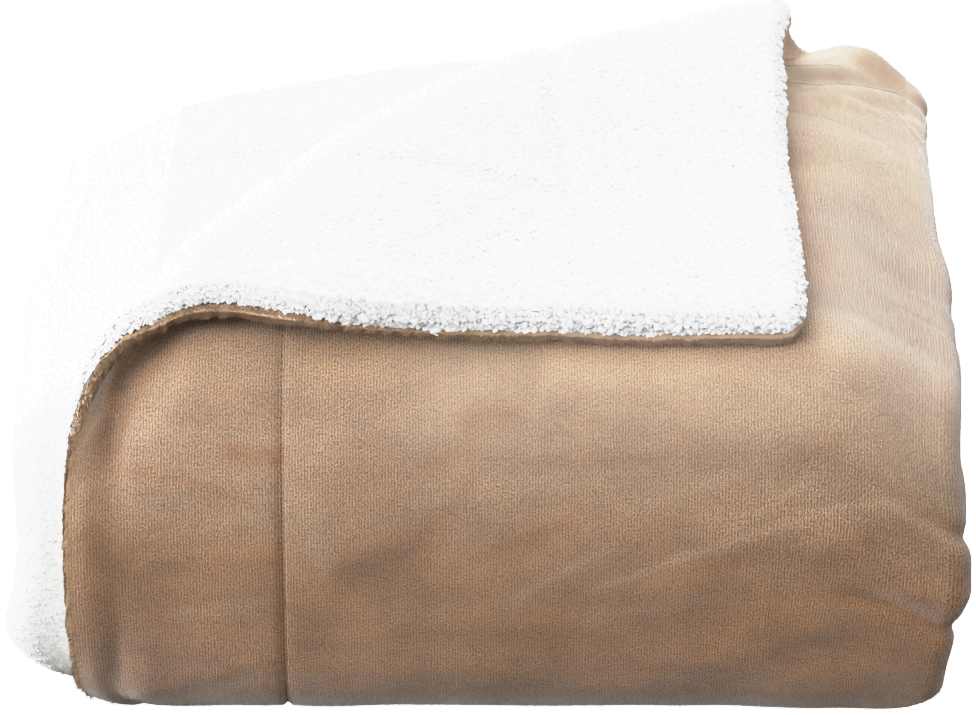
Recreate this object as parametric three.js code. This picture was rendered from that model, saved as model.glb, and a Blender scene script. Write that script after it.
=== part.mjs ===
// A plush and sherpa duvet, folded four times across and four times along into a pack, with the
// free top corner turned back. Millimetres, +Z up, +X to the right of the front, +Y to the back.
//
// The duvet is two cloths sewn together: a brown plush face and a white sherpa back. Its width is
// folded back and forth into four plies, and the long strip that this gives is folded again, round
// one big bend at the front and one at the back. Every point of a cloth is found in three steps:
// across the folded width, along the folded strip, and through the way the soft pack settles.

import * as THREE from 'three';

// The two cloths
const PLUSH_THICKNESS = 4;
const SHERPA_THICKNESS = 11;
const SEWN_GAP = 0.3;             // between the two cloths
const PLY_GAP = 1.2;              // between plies that lie on each other
const LEVEL_GAP = 2.4;            // between the levels of the folded strip

// The folded width, before the pack settles
const FREE_EDGE_X = -249;         // free left edge of the outer ply
const LEFT_FOLD_X = -268;         // middle of the sherpa fold that stands out on the left
const RIGHT_FOLD_X = 267;         // middle of the plush folds on the right
const INNER_EDGE_X = -258;        // free edge of the innermost ply
const BORDER = 127;               // from each free edge to the border seam

// The folded strip
const FRONT_REACH = 60;           // how far the strip's middle bulges forward at the front bend
const BACK_FOLD_Y = 474;          // rearmost point of the bend at the back
const TOP_END_Y = 511;            // free end of the top level
const INNER_END_Y = 456;          // free end of the level below it
const END_STAGGER = 1.2;          // how much that end slants, for each millimetre of strip

// The turned corner
const CREASE_PAST_SHOULDER = 21;  // from the start of the bend to where its crease leaves the edge
const FRONT_ROLL = 28;            // radius of the roll at the crease, at the front
const MIDDLE_ROLL = 25;           // and in the middle
const BACK_ROLL = 18;             // and at the back
const FRONT_FLATNESS = 0.54;      // height of the roll beside a round one, at the front
const BACK_FLATNESS = 0.9;        // and at the back
const FLATNESS_RUN = 0.45;        // share of the crease over which it changes
const CREASE_BOW = 42;            // how far the crease bows out in its middle
const LEAST_BOW_RUN = 60;         // least run over which the flap evens the bow out
const FLAP_LIFT = 13;             // from ply to turned ply where the corner lies flat
const FLAP_SINK_RUN = 120;        // run over which the turned ply comes down from its roll
const CREASE_LIFT = 3;            // how much the outer ply is lifted where its roll starts
const CREASE_LIFT_RUN = 90;       // and the run over which it is

// The border seam's channel
const SEAM_HALF_WIDTH = 9;
const PLUSH_SEAM_DEPTH = 1.6;
const SHERPA_SEAM_DEPTH = 4;

// How the soft pack settles: drops are shares of the height, shifts are millimetres
const PACK_HALF_WIDTH = 300;
const CROWN = 0.02;               // rise of the middle
const RIGHT_DROP = { share: 0.17, from: 165, run: 125 };
const LEFT_DROP = { share: 0.13, from: 140, run: 150 };
const BACK_LEFT_DROP = { share: 0.15, from: -40, run: 320 };
const BACK_SLOPE = { from: 60, run: 450 };          // where those that grow to the back start
const BACK_LEFT_DRIFT = { shift: 30, from: 300, run: 200 };
const SIDE_BULGE = { from: 120, run: 160, left: 6, right: 14, rightLow: -3, rightRise: 210 };
const FOOT_TUCK = { shift: 28, below: 48 };         // the sides draw in at the floor
const FRONT_FULLNESS = { shift: 15, height: 38, spread: 42, depth: 130 };

const PLUSH_COLOUR = 0xb2957a;
const SHERPA_COLOUR = 0xf6f3ee;

const HALF_GAP = SEWN_GAP / 2;
const PLUSH_SIDE = PLUSH_THICKNESS + HALF_GAP;
const SHERPA_SIDE = SHERPA_THICKNESS + HALF_GAP;
const SHERPA_FOLD_RADIUS = SHERPA_SIDE + PLY_GAP / 2;   // folds with the sherpa inside
const PLUSH_FOLD_RADIUS = PLUSH_SIDE + PLY_GAP / 2;     // folds with the plush inside

const STRIP_HALF = PLUSH_SIDE + 2 * SHERPA_FOLD_RADIUS + PLUSH_FOLD_RADIUS;
const LEVEL_PITCH = 2 * STRIP_HALF + LEVEL_GAP;
const HEIGHT = 3 * LEVEL_PITCH + 2 * STRIP_HALF;

const ramp = (t) => {
  const c = Math.min(1, Math.max(0, t));
  return c * c * (3 - 2 * c);
};
const mix = (a, b, t) => a + (b - a) * t;

// Across the folded width
// A station is a place on the sewn plane between the cloths: x, its height w in the strip, the
// direction of the plush side, and the run along the width.

const outerPly = STRIP_HALF - PLUSH_SIDE;
const secondPly = outerPly - 2 * SHERPA_FOLD_RADIUS;
const thirdPly = secondPly - 2 * PLUSH_FOLD_RADIUS;
const innerPly = thirdPly - 2 * SHERPA_FOLD_RADIUS;

const seamX = FREE_EDGE_X + BORDER;
const COMMON_BREAKS = [-215, seamX, 15, 140, 225];
const OUTER_BREAKS = [...COMMON_BREAKS, seamX - SEAM_HALF_WIDTH, seamX + SEAM_HALF_WIDTH];
const LEAST_STEP = 8;

function straightPly(w, up, from, to, breaks) {
  const low = Math.min(from, to) + LEAST_STEP;
  const high = Math.max(from, to) - LEAST_STEP;
  const inside = breaks.filter((x) => x > low && x < high);
  const places = [from, ...inside, to].sort((a, b) => (to > from ? a - b : b - a));
  return places.map((x) => ({ x, w, nx: 0, nw: up, outer: w === outerPly }));
}

const FOLD_STEPS = 4;

function widthFold(x, fromW, radius, side, out) {
  const stations = [];
  for (let i = 1; i < FOLD_STEPS; i += 1) {
    const angle = Math.PI * (0.5 - i / FOLD_STEPS);
    const nx = side * Math.cos(angle);
    const nw = Math.sin(angle);
    const w = fromW - radius + radius * nw;
    stations.push({ x: x + radius * nx, w, nx: out * nx, nw: out * nw });
  }
  return stations;
}

const rightFold = (w) => widthFold(RIGHT_FOLD_X, w, SHERPA_FOLD_RADIUS, 1, 1);
const leftFold = (w) => widthFold(LEFT_FOLD_X, w, PLUSH_FOLD_RADIUS, -1, -1);

const section = [
  ...straightPly(outerPly, 1, FREE_EDGE_X, RIGHT_FOLD_X, OUTER_BREAKS),
  ...rightFold(outerPly),
  ...straightPly(secondPly, -1, RIGHT_FOLD_X, LEFT_FOLD_X, COMMON_BREAKS),
  ...leftFold(secondPly),
  ...straightPly(thirdPly, 1, LEFT_FOLD_X, RIGHT_FOLD_X, COMMON_BREAKS),
  ...rightFold(thirdPly),
  ...straightPly(innerPly, -1, RIGHT_FOLD_X, INNER_EDGE_X, COMMON_BREAKS),
];

// Along the folded strip
// A place on the path has y, z, the direction of the outer ply's side, and the run from the back.

const levelZ = (level) => STRIP_HALF + LEVEL_PITCH * (level - 1);
const bendHalf = (LEVEL_PITCH * 3) / 2;
const smallBend = LEVEL_PITCH / 2;
const NESTED_CLEARANCE = 2;
const frontBendY = FRONT_REACH + STRIP_HALF;
const innerBendY = 3 * STRIP_HALF + smallBend + NESTED_CLEARANCE;
const backBendY = BACK_FOLD_Y - smallBend - STRIP_HALF;

function bendPlace(y, z, reach, half, angle, outward) {
  const ny = (reach < 0 ? -1 : 1) * Math.cos(angle) * half;
  const nz = Math.sin(angle) * Math.abs(reach);
  const length = Math.hypot(ny, nz);
  return {
    y: y + reach * Math.cos(angle),
    z: z + half * Math.sin(angle),
    ny: (outward * ny) / length,
    nz: (outward * nz) / length,
  };
}

function levelPlaces(level, from, to, steps, up) {
  const places = [];
  for (let i = 0; i <= steps; i += 1) {
    places.push({ y: mix(from, to, i / steps), z: levelZ(level), ny: 0, nz: up, level });
  }
  return places;
}

const topEndPlaces = (backs) => backs.map(
  (back) => ({ y: TOP_END_Y - back, z: levelZ(4), ny: 0, nz: 1, level: 4 }),
);

// turn is 1 on the way down and -1 on the way up, outward 1 where the outer ply is outside

function bendPlaces(y, z, reach, half, steps, turn, outward) {
  const places = [];
  for (let i = 1; i < steps; i += 1) {
    const angle = turn * Math.PI * (0.5 - i / steps);
    places.push(bendPlace(y, z, reach, half, angle, outward));
  }
  return places;
}

const path = [
  ...topEndPlaces([0, BORDER / 2, BORDER - SEAM_HALF_WIDTH, BORDER]),
  ...levelPlaces(4, TOP_END_Y - BORDER - SEAM_HALF_WIDTH, frontBendY, 4, 1),
  ...bendPlaces(frontBendY, levelZ(1) + bendHalf, -FRONT_REACH, bendHalf, 10, 1, 1),
  ...levelPlaces(1, frontBendY, backBendY, 4, -1),
  ...bendPlaces(backBendY, levelZ(1) + smallBend, smallBend, smallBend, 5, -1, 1),
  ...levelPlaces(2, backBendY, innerBendY, 3, 1),
  ...bendPlaces(innerBendY, levelZ(2) + smallBend, -smallBend, smallBend, 5, -1, -1),
  ...levelPlaces(3, innerBendY, INNER_END_Y, 4, -1),
];

path.forEach((place, i) => {
  const before = path[i - 1];
  place.run = i === 0 ? 0 : before.run + Math.hypot(place.y - before.y, place.z - before.z);
});

const shoulderRun = TOP_END_Y - frontBendY;
const creaseRun = shoulderRun + CREASE_PAST_SHOULDER;
const creaseLength = creaseRun * Math.SQRT2;

function placeAtRun(run) {
  let i = 1;
  while (i < path.length - 1 && path[i].run < run) i += 1;
  const a = path[i - 1];
  const b = path[i];
  const t = (run - a.run) / (b.run - a.run);
  const ny = mix(a.ny, b.ny, t);
  const nz = mix(a.nz, b.nz, t);
  const length = Math.hypot(ny, nz);
  return { y: mix(a.y, b.y, t), z: mix(a.z, b.z, t), ny: ny / length, nz: nz / length };
}

// The turned corner
// along runs up the crease from the free edge, across is positive on the corner's side of it.

const creasePlace = (x, run) => {
  const right = x - FREE_EDGE_X;
  const back = creaseRun - run;
  return { along: (right + back) / Math.SQRT2, across: (back - right) / Math.SQRT2 };
};

function rollAt(along) {
  const t = Math.min(1, Math.max(0, along / creaseLength));
  const middle = Math.sin(Math.PI * t) ** 2;
  const radius = mix(mix(FRONT_ROLL, BACK_ROLL, t), MIDDLE_ROLL, middle);
  const flatness = mix(FRONT_FLATNESS, BACK_FLATNESS, ramp(t / FLATNESS_RUN));
  const bow = CREASE_BOW * middle;
  const start = bow - (Math.PI * radius) / 2;
  const reach = creaseLength / 2 - Math.abs(along - creaseLength / 2);
  const span = Math.max(LEAST_BOW_RUN, reach - bow - (Math.PI * radius) / 2);
  return { radius, flatness, bow, start, span };
}

function turnedProfile(q, roll) {
  const half = Math.PI * roll.radius;
  if (q <= half) {
    const angle = q / roll.radius;
    const lift = roll.flatness * roll.radius * (1 - Math.cos(angle));
    return [roll.radius * Math.sin(angle), lift];
  }
  const past = q - half;
  const top = 2 * roll.flatness * roll.radius;
  const down = 0.5 + 0.5 * Math.cos(Math.PI * Math.min(1, past / FLAP_SINK_RUN));
  return [-past - 2 * roll.bow * ramp(past / roll.span), FLAP_LIFT + (top - FLAP_LIFT) * down];
}

const turnStart = (x, run) => {
  const { along, across } = creasePlace(x, run);
  return across - rollAt(along).start;
};

const SLOPE_STEP = 0.5;

function turnedPoint(x, run, offset) {
  const { along, across } = creasePlace(x, run);
  const roll = rollAt(along);
  const q = across - roll.start;
  const here = turnedProfile(q, roll);
  const ahead = turnedProfile(q + SLOPE_STEP, roll);
  const behind = turnedProfile(Math.max(0, q - SLOPE_STEP), roll);
  const dm = ahead[0] - behind[0];
  const dh = ahead[1] - behind[1];
  const length = Math.hypot(dm, dh);
  const newAcross = roll.start + here[0] - (offset * dh) / length;
  const lift = here[1] + (offset * dm) / length;
  return {
    x: FREE_EDGE_X + (along - newAcross) / Math.SQRT2,
    run: creaseRun - (along + newAcross) / Math.SQRT2,
    w: outerPly + CREASE_LIFT + lift,
  };
}

// How the soft pack settles
// The floor stays flat: every change of height is in proportion to the height. Across the width
// the height changes along straight lines between the breaks that all plies share.

const BEYOND_PACK = 340;
const SETTLE_BREAKS = [-BEYOND_PACK, ...COMMON_BREAKS, BEYOND_PACK];

const share = (value, { from, run }) => ramp((value - from) / run);

function heightAt(x, y) {
  const back = Math.min(1, Math.max(0, (y - BACK_SLOPE.from) / BACK_SLOPE.run));
  const crown = CROWN * (1 - (x / PACK_HALF_WIDTH) ** 2) * back;
  const right = RIGHT_DROP.share * share(x, RIGHT_DROP) ** 2;
  const left = LEFT_DROP.share * share(-x, LEFT_DROP) ** 2;
  const backLeft = BACK_LEFT_DROP.share * share(-x, BACK_LEFT_DROP) * back;
  return 1 + crown - right - left - backLeft;
}

function settledHeight(x, y) {
  const next = SETTLE_BREAKS.findIndex((at) => at > x);
  const low = SETTLE_BREAKS[next - 1];
  const high = SETTLE_BREAKS[next];
  return mix(heightAt(low, y), heightAt(high, y), (x - low) / (high - low));
}

function sideShift(x, z) {
  const rise = Math.min(1, z / HEIGHT);
  const { left, right, rightLow, rightRise } = SIDE_BULGE;
  const bulge = x > 0 ? rightLow + right * ramp(z / rightRise) : left * Math.sin(Math.PI * rise);
  const tuck = FOOT_TUCK.shift * ramp(1 - z / FOOT_TUCK.below);
  return Math.sign(x) * share(Math.abs(x), SIDE_BULGE) * (bulge - tuck);
}

function settle(x, y, z) {
  const { shift, height, spread, depth } = FRONT_FULLNESS;
  const fullness = shift * Math.exp(-(((z - height) / spread) ** 2)) * ramp(1 - y / depth);
  const toLeft = ramp(-x / PACK_HALF_WIDTH);
  const drift = BACK_LEFT_DRIFT.shift * toLeft * share(y, BACK_LEFT_DRIFT) * (z / HEIGHT);
  return [x + sideShift(x, z), y - fullness - drift, z * settledHeight(x, y)];
}

// The fold lines wander: each row is a fold, as two waves along the strip and a set-back

const WANDER_START = { from: 225, run: 30 };
const WANDER = {
  outerRight: { wave: 3.2, length: 47, phase: 1.1, ripple: 1.6, rippleLength: 21, setBack: 0 },
  innerRight: { wave: 3.2, length: 47, phase: 3.3, ripple: 1.6, rippleLength: 21, setBack: -5 },
  left: { wave: 3.5, length: 62, phase: 0.4, ripple: 1.5, rippleLength: 27, setBack: 0 },
};

function foldWander(station, run) {
  if (station.x < 0 && station.outer) return 0;
  const right = station.w > thirdPly + PLUSH_FOLD_RADIUS ? WANDER.outerRight : WANDER.innerRight;
  const fold = station.x > 0 ? right : WANDER.left;
  const waves = fold.wave * Math.sin(run / fold.length + fold.phase)
    + fold.ripple * Math.sin(run / fold.rippleLength + fold.phase);
  return (waves + fold.setBack) * share(Math.abs(station.x), WANDER_START);
}

// How far a place on the outer ply lies from the border seam, up to half the channel's width

function seamDistance(station, run) {
  if (!station.outer) return SEAM_HALF_WIDTH;
  const across = run >= BORDER ? Math.abs(station.x - seamX) : SEAM_HALF_WIDTH;
  const along = station.x >= seamX ? Math.abs(run - BORDER) : SEAM_HALF_WIDTH;
  return Math.min(across, along, SEAM_HALF_WIDTH);
}

// One point of a cloth: width station, place along the strip, offset to the plush side

function clothPoint(station, place, offset) {
  const run = place.run;
  const nearCrease = station.outer && run < creaseRun + 2 * CREASE_LIFT_RUN;
  const q = nearCrease ? turnStart(station.x, run) : -CREASE_LIFT_RUN;
  if (q > 0) {
    const turned = turnedPoint(station.x, run, offset);
    const at = placeAtRun(turned.run);
    return settle(turned.x, at.y + turned.w * at.ny, at.z + turned.w * at.nz);
  }
  const x = station.x + offset * station.nx + foldWander(station, run);
  const w = station.w + offset * station.nw + CREASE_LIFT * ramp(1 + q / CREASE_LIFT_RUN);
  const alongEnd = (place.y - innerBendY) / (INNER_END_Y - innerBendY);
  const slant = place.level === 3 ? END_STAGGER * w * alongEnd : 0;
  return settle(x, place.y + w * place.ny - slant, place.z + w * place.nz);
}

// Grid of the cloth, cut along the lines of the turned corner's roll

const SAME = 1e-9;
const vertexKey = (v) => `${v.i.toFixed(6)},${v.j.toFixed(6)}`;

function stationAt(i) {
  const lower = Math.min(section.length - 1, Math.floor(i + SAME));
  const t = i - lower;
  if (t < SAME) return section[lower];
  const a = section[lower];
  const b = section[lower + 1];
  return { ...a, x: mix(a.x, b.x, t) };
}

function pathAt(j) {
  const lower = Math.min(path.length - 1, Math.floor(j + SAME));
  const t = j - lower;
  if (t < SAME) return path[lower];
  const a = path[lower];
  const run = mix(a.run, path[lower + 1].run, t);
  return { ...placeAtRun(run), run, level: a.level };
}

const lastOuter = section.findLastIndex((station) => station.outer);
const lastTurned = path.findIndex((place) => place.run > creaseRun + CREASE_LIFT_RUN);

const HALVINGS = 40;

function cutByLine(polygons, line) {
  const side = (v) => line(stationAt(v.i).x, pathAt(v.j).run);
  const crossing = (a, b) => {
    const [p, r] = vertexKey(a) < vertexKey(b) ? [a, b] : [b, a];
    let low = 0;
    let high = 1;
    const sign = Math.sign(side(p));
    for (let n = 0; n < HALVINGS; n += 1) {
      const t = (low + high) / 2;
      if (Math.sign(side({ i: mix(p.i, r.i, t), j: mix(p.j, r.j, t) })) === sign) low = t;
      else high = t;
    }
    return { i: mix(p.i, r.i, low), j: mix(p.j, r.j, low) };
  };
  return polygons.flatMap((polygon) => {
    const sides = polygon.map((v) => Math.sign(side(v)));
    if (!sides.includes(1) || !sides.includes(-1)) return [polygon];
    const before = [];
    const after = [];
    polygon.forEach((v, k) => {
      const next = (k + 1) % polygon.length;
      if (sides[k] <= 0) before.push(v);
      if (sides[k] >= 0) after.push(v);
      if (sides[k] * sides[next] < 0) {
        const c = crossing(v, polygon[next]);
        before.push(c);
        after.push(c);
      }
    });
    return [before, after];
  });
}

const ROLL_PARTS = [0, 0.25, 0.5, 0.75, 1];

function clothPolygons() {
  const plain = [];
  let corner = [];
  for (let i = 0; i < section.length - 1; i += 1) {
    for (let j = 0; j < path.length - 1; j += 1) {
      const cell = [{ i, j }, { i: i + 1, j }, { i: i + 1, j: j + 1 }, { i, j: j + 1 }];
      const rightward = section[i + 1].x > section[i].x;
      const backward = path[j + 1].y > path[j].y;
      if (rightward === backward) cell.push(cell.shift());
      if (i < lastOuter && j < lastTurned) corner.push(cell);
      else plain.push(cell);
    }
  }
  for (const part of ROLL_PARTS) {
    corner = cutByLine(corner, (x, run) => {
      const { along, across } = creasePlace(x, run);
      const roll = rollAt(along);
      return across - roll.start - part * Math.PI * roll.radius;
    });
  }
  return [...plain, ...corner];
}

// One cloth: its near side, its far side with the seam's channel, and the walls round its rim

function clothSolid(polygons, nearOffset, farOffset, seamDepth) {
  const points = [];
  const index = new Map();
  const layer = (v, offset, dip) => {
    const key = `${vertexKey(v)},${offset}`;
    if (!index.has(key)) {
      const station = stationAt(v.i);
      const place = pathAt(v.j);
      const near = 1 - seamDistance(station, place.run) / SEAM_HALF_WIDTH;
      const depth = dip ? Math.sign(offset) * seamDepth * near : 0;
      index.set(key, points.length / 3);
      points.push(...clothPoint(station, place, offset - depth));
    }
    return index.get(key);
  };
  const triangles = [];
  const edges = new Map();
  for (const polygon of polygons) {
    const near = polygon.map((v) => layer(v, nearOffset, false));
    const far = polygon.map((v) => layer(v, farOffset, true));
    for (let k = 1; k < polygon.length - 1; k += 1) {
      triangles.push([near[0], near[k], near[k + 1]]);
      triangles.push([far[0], far[k + 1], far[k]]);
    }
    polygon.forEach((v, k) => {
      const next = (k + 1) % polygon.length;
      const back = `${near[next]},${near[k]}`;
      if (edges.has(back)) edges.delete(back);
      else edges.set(`${near[k]},${near[next]}`, [near[k], near[next], far[k], far[next]]);
    });
  }
  for (const [a, b, c, d] of edges.values()) {
    triangles.push([b, a, c], [b, c, d]);
  }
  const flip = farOffset < nearOffset;
  const order = triangles.flatMap(([a, b, c]) => (flip ? [a, c, b] : [a, b, c]));
  const geometry = new THREE.BufferGeometry();
  geometry.setAttribute('position', new THREE.BufferAttribute(new Float32Array(points), 3));
  geometry.setIndex(order);
  return geometry;
}

function cloth(name, polygons, nearOffset, farOffset, seamDepth, colour, roughness) {
  const material = new THREE.MeshStandardMaterial({ color: colour, roughness, metalness: 0 });
  const mesh = new THREE.Mesh(clothSolid(polygons, nearOffset, farOffset, seamDepth), material);
  mesh.name = name;
  return mesh;
}

const polygons = clothPolygons();
const duvet = new THREE.Group();
duvet.add(
  cloth('plush_face', polygons, HALF_GAP, PLUSH_SIDE, PLUSH_SEAM_DEPTH, PLUSH_COLOUR, 0.8),
  cloth('sherpa_back', polygons, -HALF_GAP, -SHERPA_SIDE, SHERPA_SEAM_DEPTH, SHERPA_COLOUR, 0.95),
);

// The origin is under the middle of the pack, on the floor
const box = new THREE.Box3().setFromObject(duvet);
duvet.children.forEach((mesh) => {
  mesh.position.set(-(box.min.x + box.max.x) / 2, -(box.min.y + box.max.y) / 2, -box.min.z);
});

export default duvet;
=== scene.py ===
"""A plush and sherpa duvet, folded into a pack, with its free top corner turned back.

The frame gives the two cloths' sizes and places. Every point of a cloth is found from its place on
the flat duvet: u runs across it from the free side edge, v along it from the free top end, and an
offset goes through it, positive to the plush side. Lengths are in metres.
"""

import math

import bpy
import numpy as np
from bpy.props import FloatProperty, FloatVectorProperty, PointerProperty
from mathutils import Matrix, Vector


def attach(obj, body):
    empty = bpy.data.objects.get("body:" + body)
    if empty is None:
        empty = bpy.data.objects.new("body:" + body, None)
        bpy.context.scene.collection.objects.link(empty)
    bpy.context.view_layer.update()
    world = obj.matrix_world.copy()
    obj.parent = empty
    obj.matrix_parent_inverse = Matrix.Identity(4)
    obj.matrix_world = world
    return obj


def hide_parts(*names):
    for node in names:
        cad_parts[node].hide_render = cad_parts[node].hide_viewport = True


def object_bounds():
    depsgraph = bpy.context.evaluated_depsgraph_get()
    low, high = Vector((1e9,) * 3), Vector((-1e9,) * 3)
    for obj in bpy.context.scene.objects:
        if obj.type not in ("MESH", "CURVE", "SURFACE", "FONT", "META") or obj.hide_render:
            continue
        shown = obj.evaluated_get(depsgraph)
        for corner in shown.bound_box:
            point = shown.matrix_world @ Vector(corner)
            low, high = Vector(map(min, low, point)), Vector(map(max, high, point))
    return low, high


bl_info = {
    "name": "Folded plush duvet",
    "version": (1, 0, 0),
    "blender": (4, 5, 0),
    "location": "3D View > Sidebar > Duvet",
    "description": "Makes a folded plush and sherpa duvet with its floor, light and camera",
    "category": "Object",
}

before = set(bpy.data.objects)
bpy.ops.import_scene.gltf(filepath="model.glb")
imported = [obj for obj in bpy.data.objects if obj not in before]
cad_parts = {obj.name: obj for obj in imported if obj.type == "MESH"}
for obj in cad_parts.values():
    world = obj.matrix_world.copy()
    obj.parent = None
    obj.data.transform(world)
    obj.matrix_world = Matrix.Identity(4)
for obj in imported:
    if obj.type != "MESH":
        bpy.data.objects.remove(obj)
CAD_LOW, CAD_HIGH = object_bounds()

MM = 0.001
TINY = 1e-12

# Where in its square a scattered point lies: the least share and the most that is added to it
CELL_SPREAD = (0.15, 0.7)
PLACE_SPREAD = (0.05, 0.9)

# The two cloths and the gaps between them
PLUSH = 4 * MM
SHERPA = 11 * MM
SEWN_GAP = 0.3 * MM
PLY_GAP = 1.2 * MM
LEVEL_GAP = 2.4 * MM

# The folded width, from the free edge of the outer ply to that of the innermost
FREE_EDGE_X = -249 * MM
LEFT_FOLD_X = -268 * MM
RIGHT_FOLD_X = 267 * MM
INNER_EDGE_X = -258 * MM
BORDER = 127 * MM

# The folded strip, from the free top end to the inner end
FRONT_REACH = 60 * MM
BACK_FOLD_Y = 474 * MM
TOP_END_Y = 511 * MM
INNER_END_Y = 456 * MM
END_STAGGER = 1.2

# The turned corner
CREASE_PAST_SHOULDER = 21 * MM
FRONT_ROLL = 28 * MM
MIDDLE_ROLL = 25 * MM
BACK_ROLL = 18 * MM
FRONT_FLATNESS = 0.54
BACK_FLATNESS = 0.9
FLATNESS_RUN = 0.45
BACK_RISE = 0.1
BACK_SQUEEZE = 0.4
BACK_START_SHARE = 0.82
CREASE_BOW = 42 * MM
LEAST_BOW_RUN = 60 * MM
FLAP_LIFT = 13 * MM
CORNER_RADIUS = 14 * MM
FLAP_SINK_RUN = 120 * MM
CREASE_LIFT = 3 * MM
CREASE_LIFT_RUN = 90 * MM
STEP = 0.5 * MM

PLUSH_SIDE = PLUSH + SEWN_GAP / 2
SHERPA_SIDE = SHERPA + SEWN_GAP / 2
WIDE_FOLD = SHERPA_SIDE + PLY_GAP / 2
TIGHT_FOLD = PLUSH_SIDE + PLY_GAP / 2
STRIP_HALF = PLUSH_SIDE + 2 * WIDE_FOLD + TIGHT_FOLD
LEVEL_PITCH = 2 * STRIP_HALF + LEVEL_GAP
HEIGHT = 3 * LEVEL_PITCH + 2 * STRIP_HALF


# Numbers

def ramp(t):
    """0 to 1, level at both ends."""
    c = np.clip(t, 0, 1)
    return c * c * (3 - 2 * c)


def mix(a, b, t):
    return a + (b - a) * t


def share(value, start, run):
    """0 up to start, then rising to 1 over run, both in millimetres."""
    return ramp((value - start * MM) / (run * MM))


def hill(distance, width):
    """1 at no distance, and less further off; width is in millimetres."""
    return np.exp(-((distance / (width * MM)) ** 2))


def drawn(limits, draw):
    """The least value with a random share of the most that is added to it."""
    return limits[0] + limits[1] * draw


def chance(i, j, seed):
    """A fixed random number from 0 to 1 for each whole pair i, j."""
    wide = np.uint64(0xFFFFFFFF)
    i = (np.asarray(i).astype(np.int64) + 100000).astype(np.uint64)
    j = (np.asarray(j).astype(np.int64) + 100000).astype(np.uint64)
    n = (i * np.uint64(374761393) + j * np.uint64(668265263) + np.uint64(seed * 97)) & wide
    n = ((n ^ (n >> np.uint64(13))) * np.uint64(1274126177)) & wide
    n = ((n ^ (n >> np.uint64(16))) * np.uint64(2246822519)) & wide
    return ((n ^ (n >> np.uint64(15))) & np.uint64(0xFFFF)).astype(float) / 65535


def noise(a, b, size, seed):
    """Smooth noise from -1 to 1 with lumps of that size in millimetres."""
    a, b = a / (size * MM), b / (size * MM)
    i, j = np.floor(a), np.floor(b)
    s, t = ramp(a - i), ramp(b - j)
    low = mix(chance(i, j, seed), chance(i + 1, j, seed), s)
    high = mix(chance(i, j + 1, seed), chance(i + 1, j + 1, seed), s)
    return 2 * mix(low, high, t) - 1


def uneven(rows, a, b):
    """Noise of several sizes, where each row is a height, a size and a seed, in millimetres."""
    return sum(height * noise(a, b, size, seed) for height, size, seed in rows)


def cells(a, b, size, seed):
    """Distance to the nearest of scattered points, in cells of size millimetres, and its number."""
    a, b = a / (size * MM), b / (size * MM)
    i, j = np.floor(a), np.floor(b)
    nearest = np.full(np.shape(a), 9.0)
    number = np.zeros(np.shape(a))
    for di in (-1, 0, 1):
        for dj in (-1, 0, 1):
            ci, cj = i + di, j + dj
            x = ci + drawn(CELL_SPREAD, chance(ci, cj, seed))
            y = cj + drawn(CELL_SPREAD, chance(ci, cj, seed + 1))
            distance = np.hypot(a - x, b - y)
            number = np.where(distance < nearest, chance(ci, cj, seed + 2), number)
            nearest = np.minimum(nearest, distance)
    return nearest, number


# Lines of the section and of the strip

class Line:
    """Points of a plane with their normals, read by the run along them."""

    def __init__(self, rows):
        self.rows = np.array(rows, float)
        steps = np.diff(self.rows[:, :2], axis=0)
        self.runs = np.concatenate([[0], np.cumsum(np.hypot(steps[:, 0], steps[:, 1]))])
        self.length = self.runs[-1]

    def at(self, run):
        a, b, na, nb = (np.interp(run, self.runs, column) for column in self.rows.T)
        size = np.hypot(na, nb)
        return a, b, na / size, nb / size


def straight(start, end, height, up):
    return [(start, height, 0, up), (end, height, 0, up)]


def bend(a, b, reach, half, turn, outward, steps):
    """Half an ellipse, from the top down where turn is 1; its normals point out where outward is 1."""
    rows = []
    for i in range(1, steps):
        angle = turn * math.pi * (0.5 - i / steps)
        na = math.copysign(math.cos(angle) * half, reach)
        nb = math.sin(angle) * abs(reach)
        size = math.hypot(na, nb)
        place = (a + reach * math.cos(angle), b + half * math.sin(angle))
        rows.append((*place, outward * na / size, outward * nb / size))
    return rows


FIRST_PLY = STRIP_HALF - PLUSH_SIDE
SECOND_PLY = FIRST_PLY - 2 * WIDE_FOLD
THIRD_PLY = SECOND_PLY - 2 * TIGHT_FOLD
INNER_PLY = THIRD_PLY - 2 * WIDE_FOLD
FOLD_STEPS = 24


def right_fold(ply):
    return bend(RIGHT_FOLD_X, ply - WIDE_FOLD, WIDE_FOLD, WIDE_FOLD, 1, 1, FOLD_STEPS)


def left_fold(ply):
    return bend(LEFT_FOLD_X, ply - TIGHT_FOLD, -TIGHT_FOLD, TIGHT_FOLD, 1, -1, FOLD_STEPS)


ACROSS = Line(
    straight(FREE_EDGE_X, RIGHT_FOLD_X, FIRST_PLY, 1)
    + right_fold(FIRST_PLY)
    + straight(RIGHT_FOLD_X, LEFT_FOLD_X, SECOND_PLY, -1)
    + left_fold(SECOND_PLY)
    + straight(LEFT_FOLD_X, RIGHT_FOLD_X, THIRD_PLY, 1)
    + right_fold(THIRD_PLY)
    + straight(RIGHT_FOLD_X, INNER_EDGE_X, INNER_PLY, -1)
)
OUTER_END = RIGHT_FOLD_X - FREE_EDGE_X
SECOND_START = OUTER_END + math.pi * WIDE_FOLD
SECOND_END = SECOND_START + RIGHT_FOLD_X - LEFT_FOLD_X
THIRD_START = SECOND_END + math.pi * TIGHT_FOLD
THIRD_END = THIRD_START + RIGHT_FOLD_X - LEFT_FOLD_X
INNER_START = THIRD_END + math.pi * WIDE_FOLD


def level_z(level):
    return STRIP_HALF + LEVEL_PITCH * (level - 1)


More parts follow.
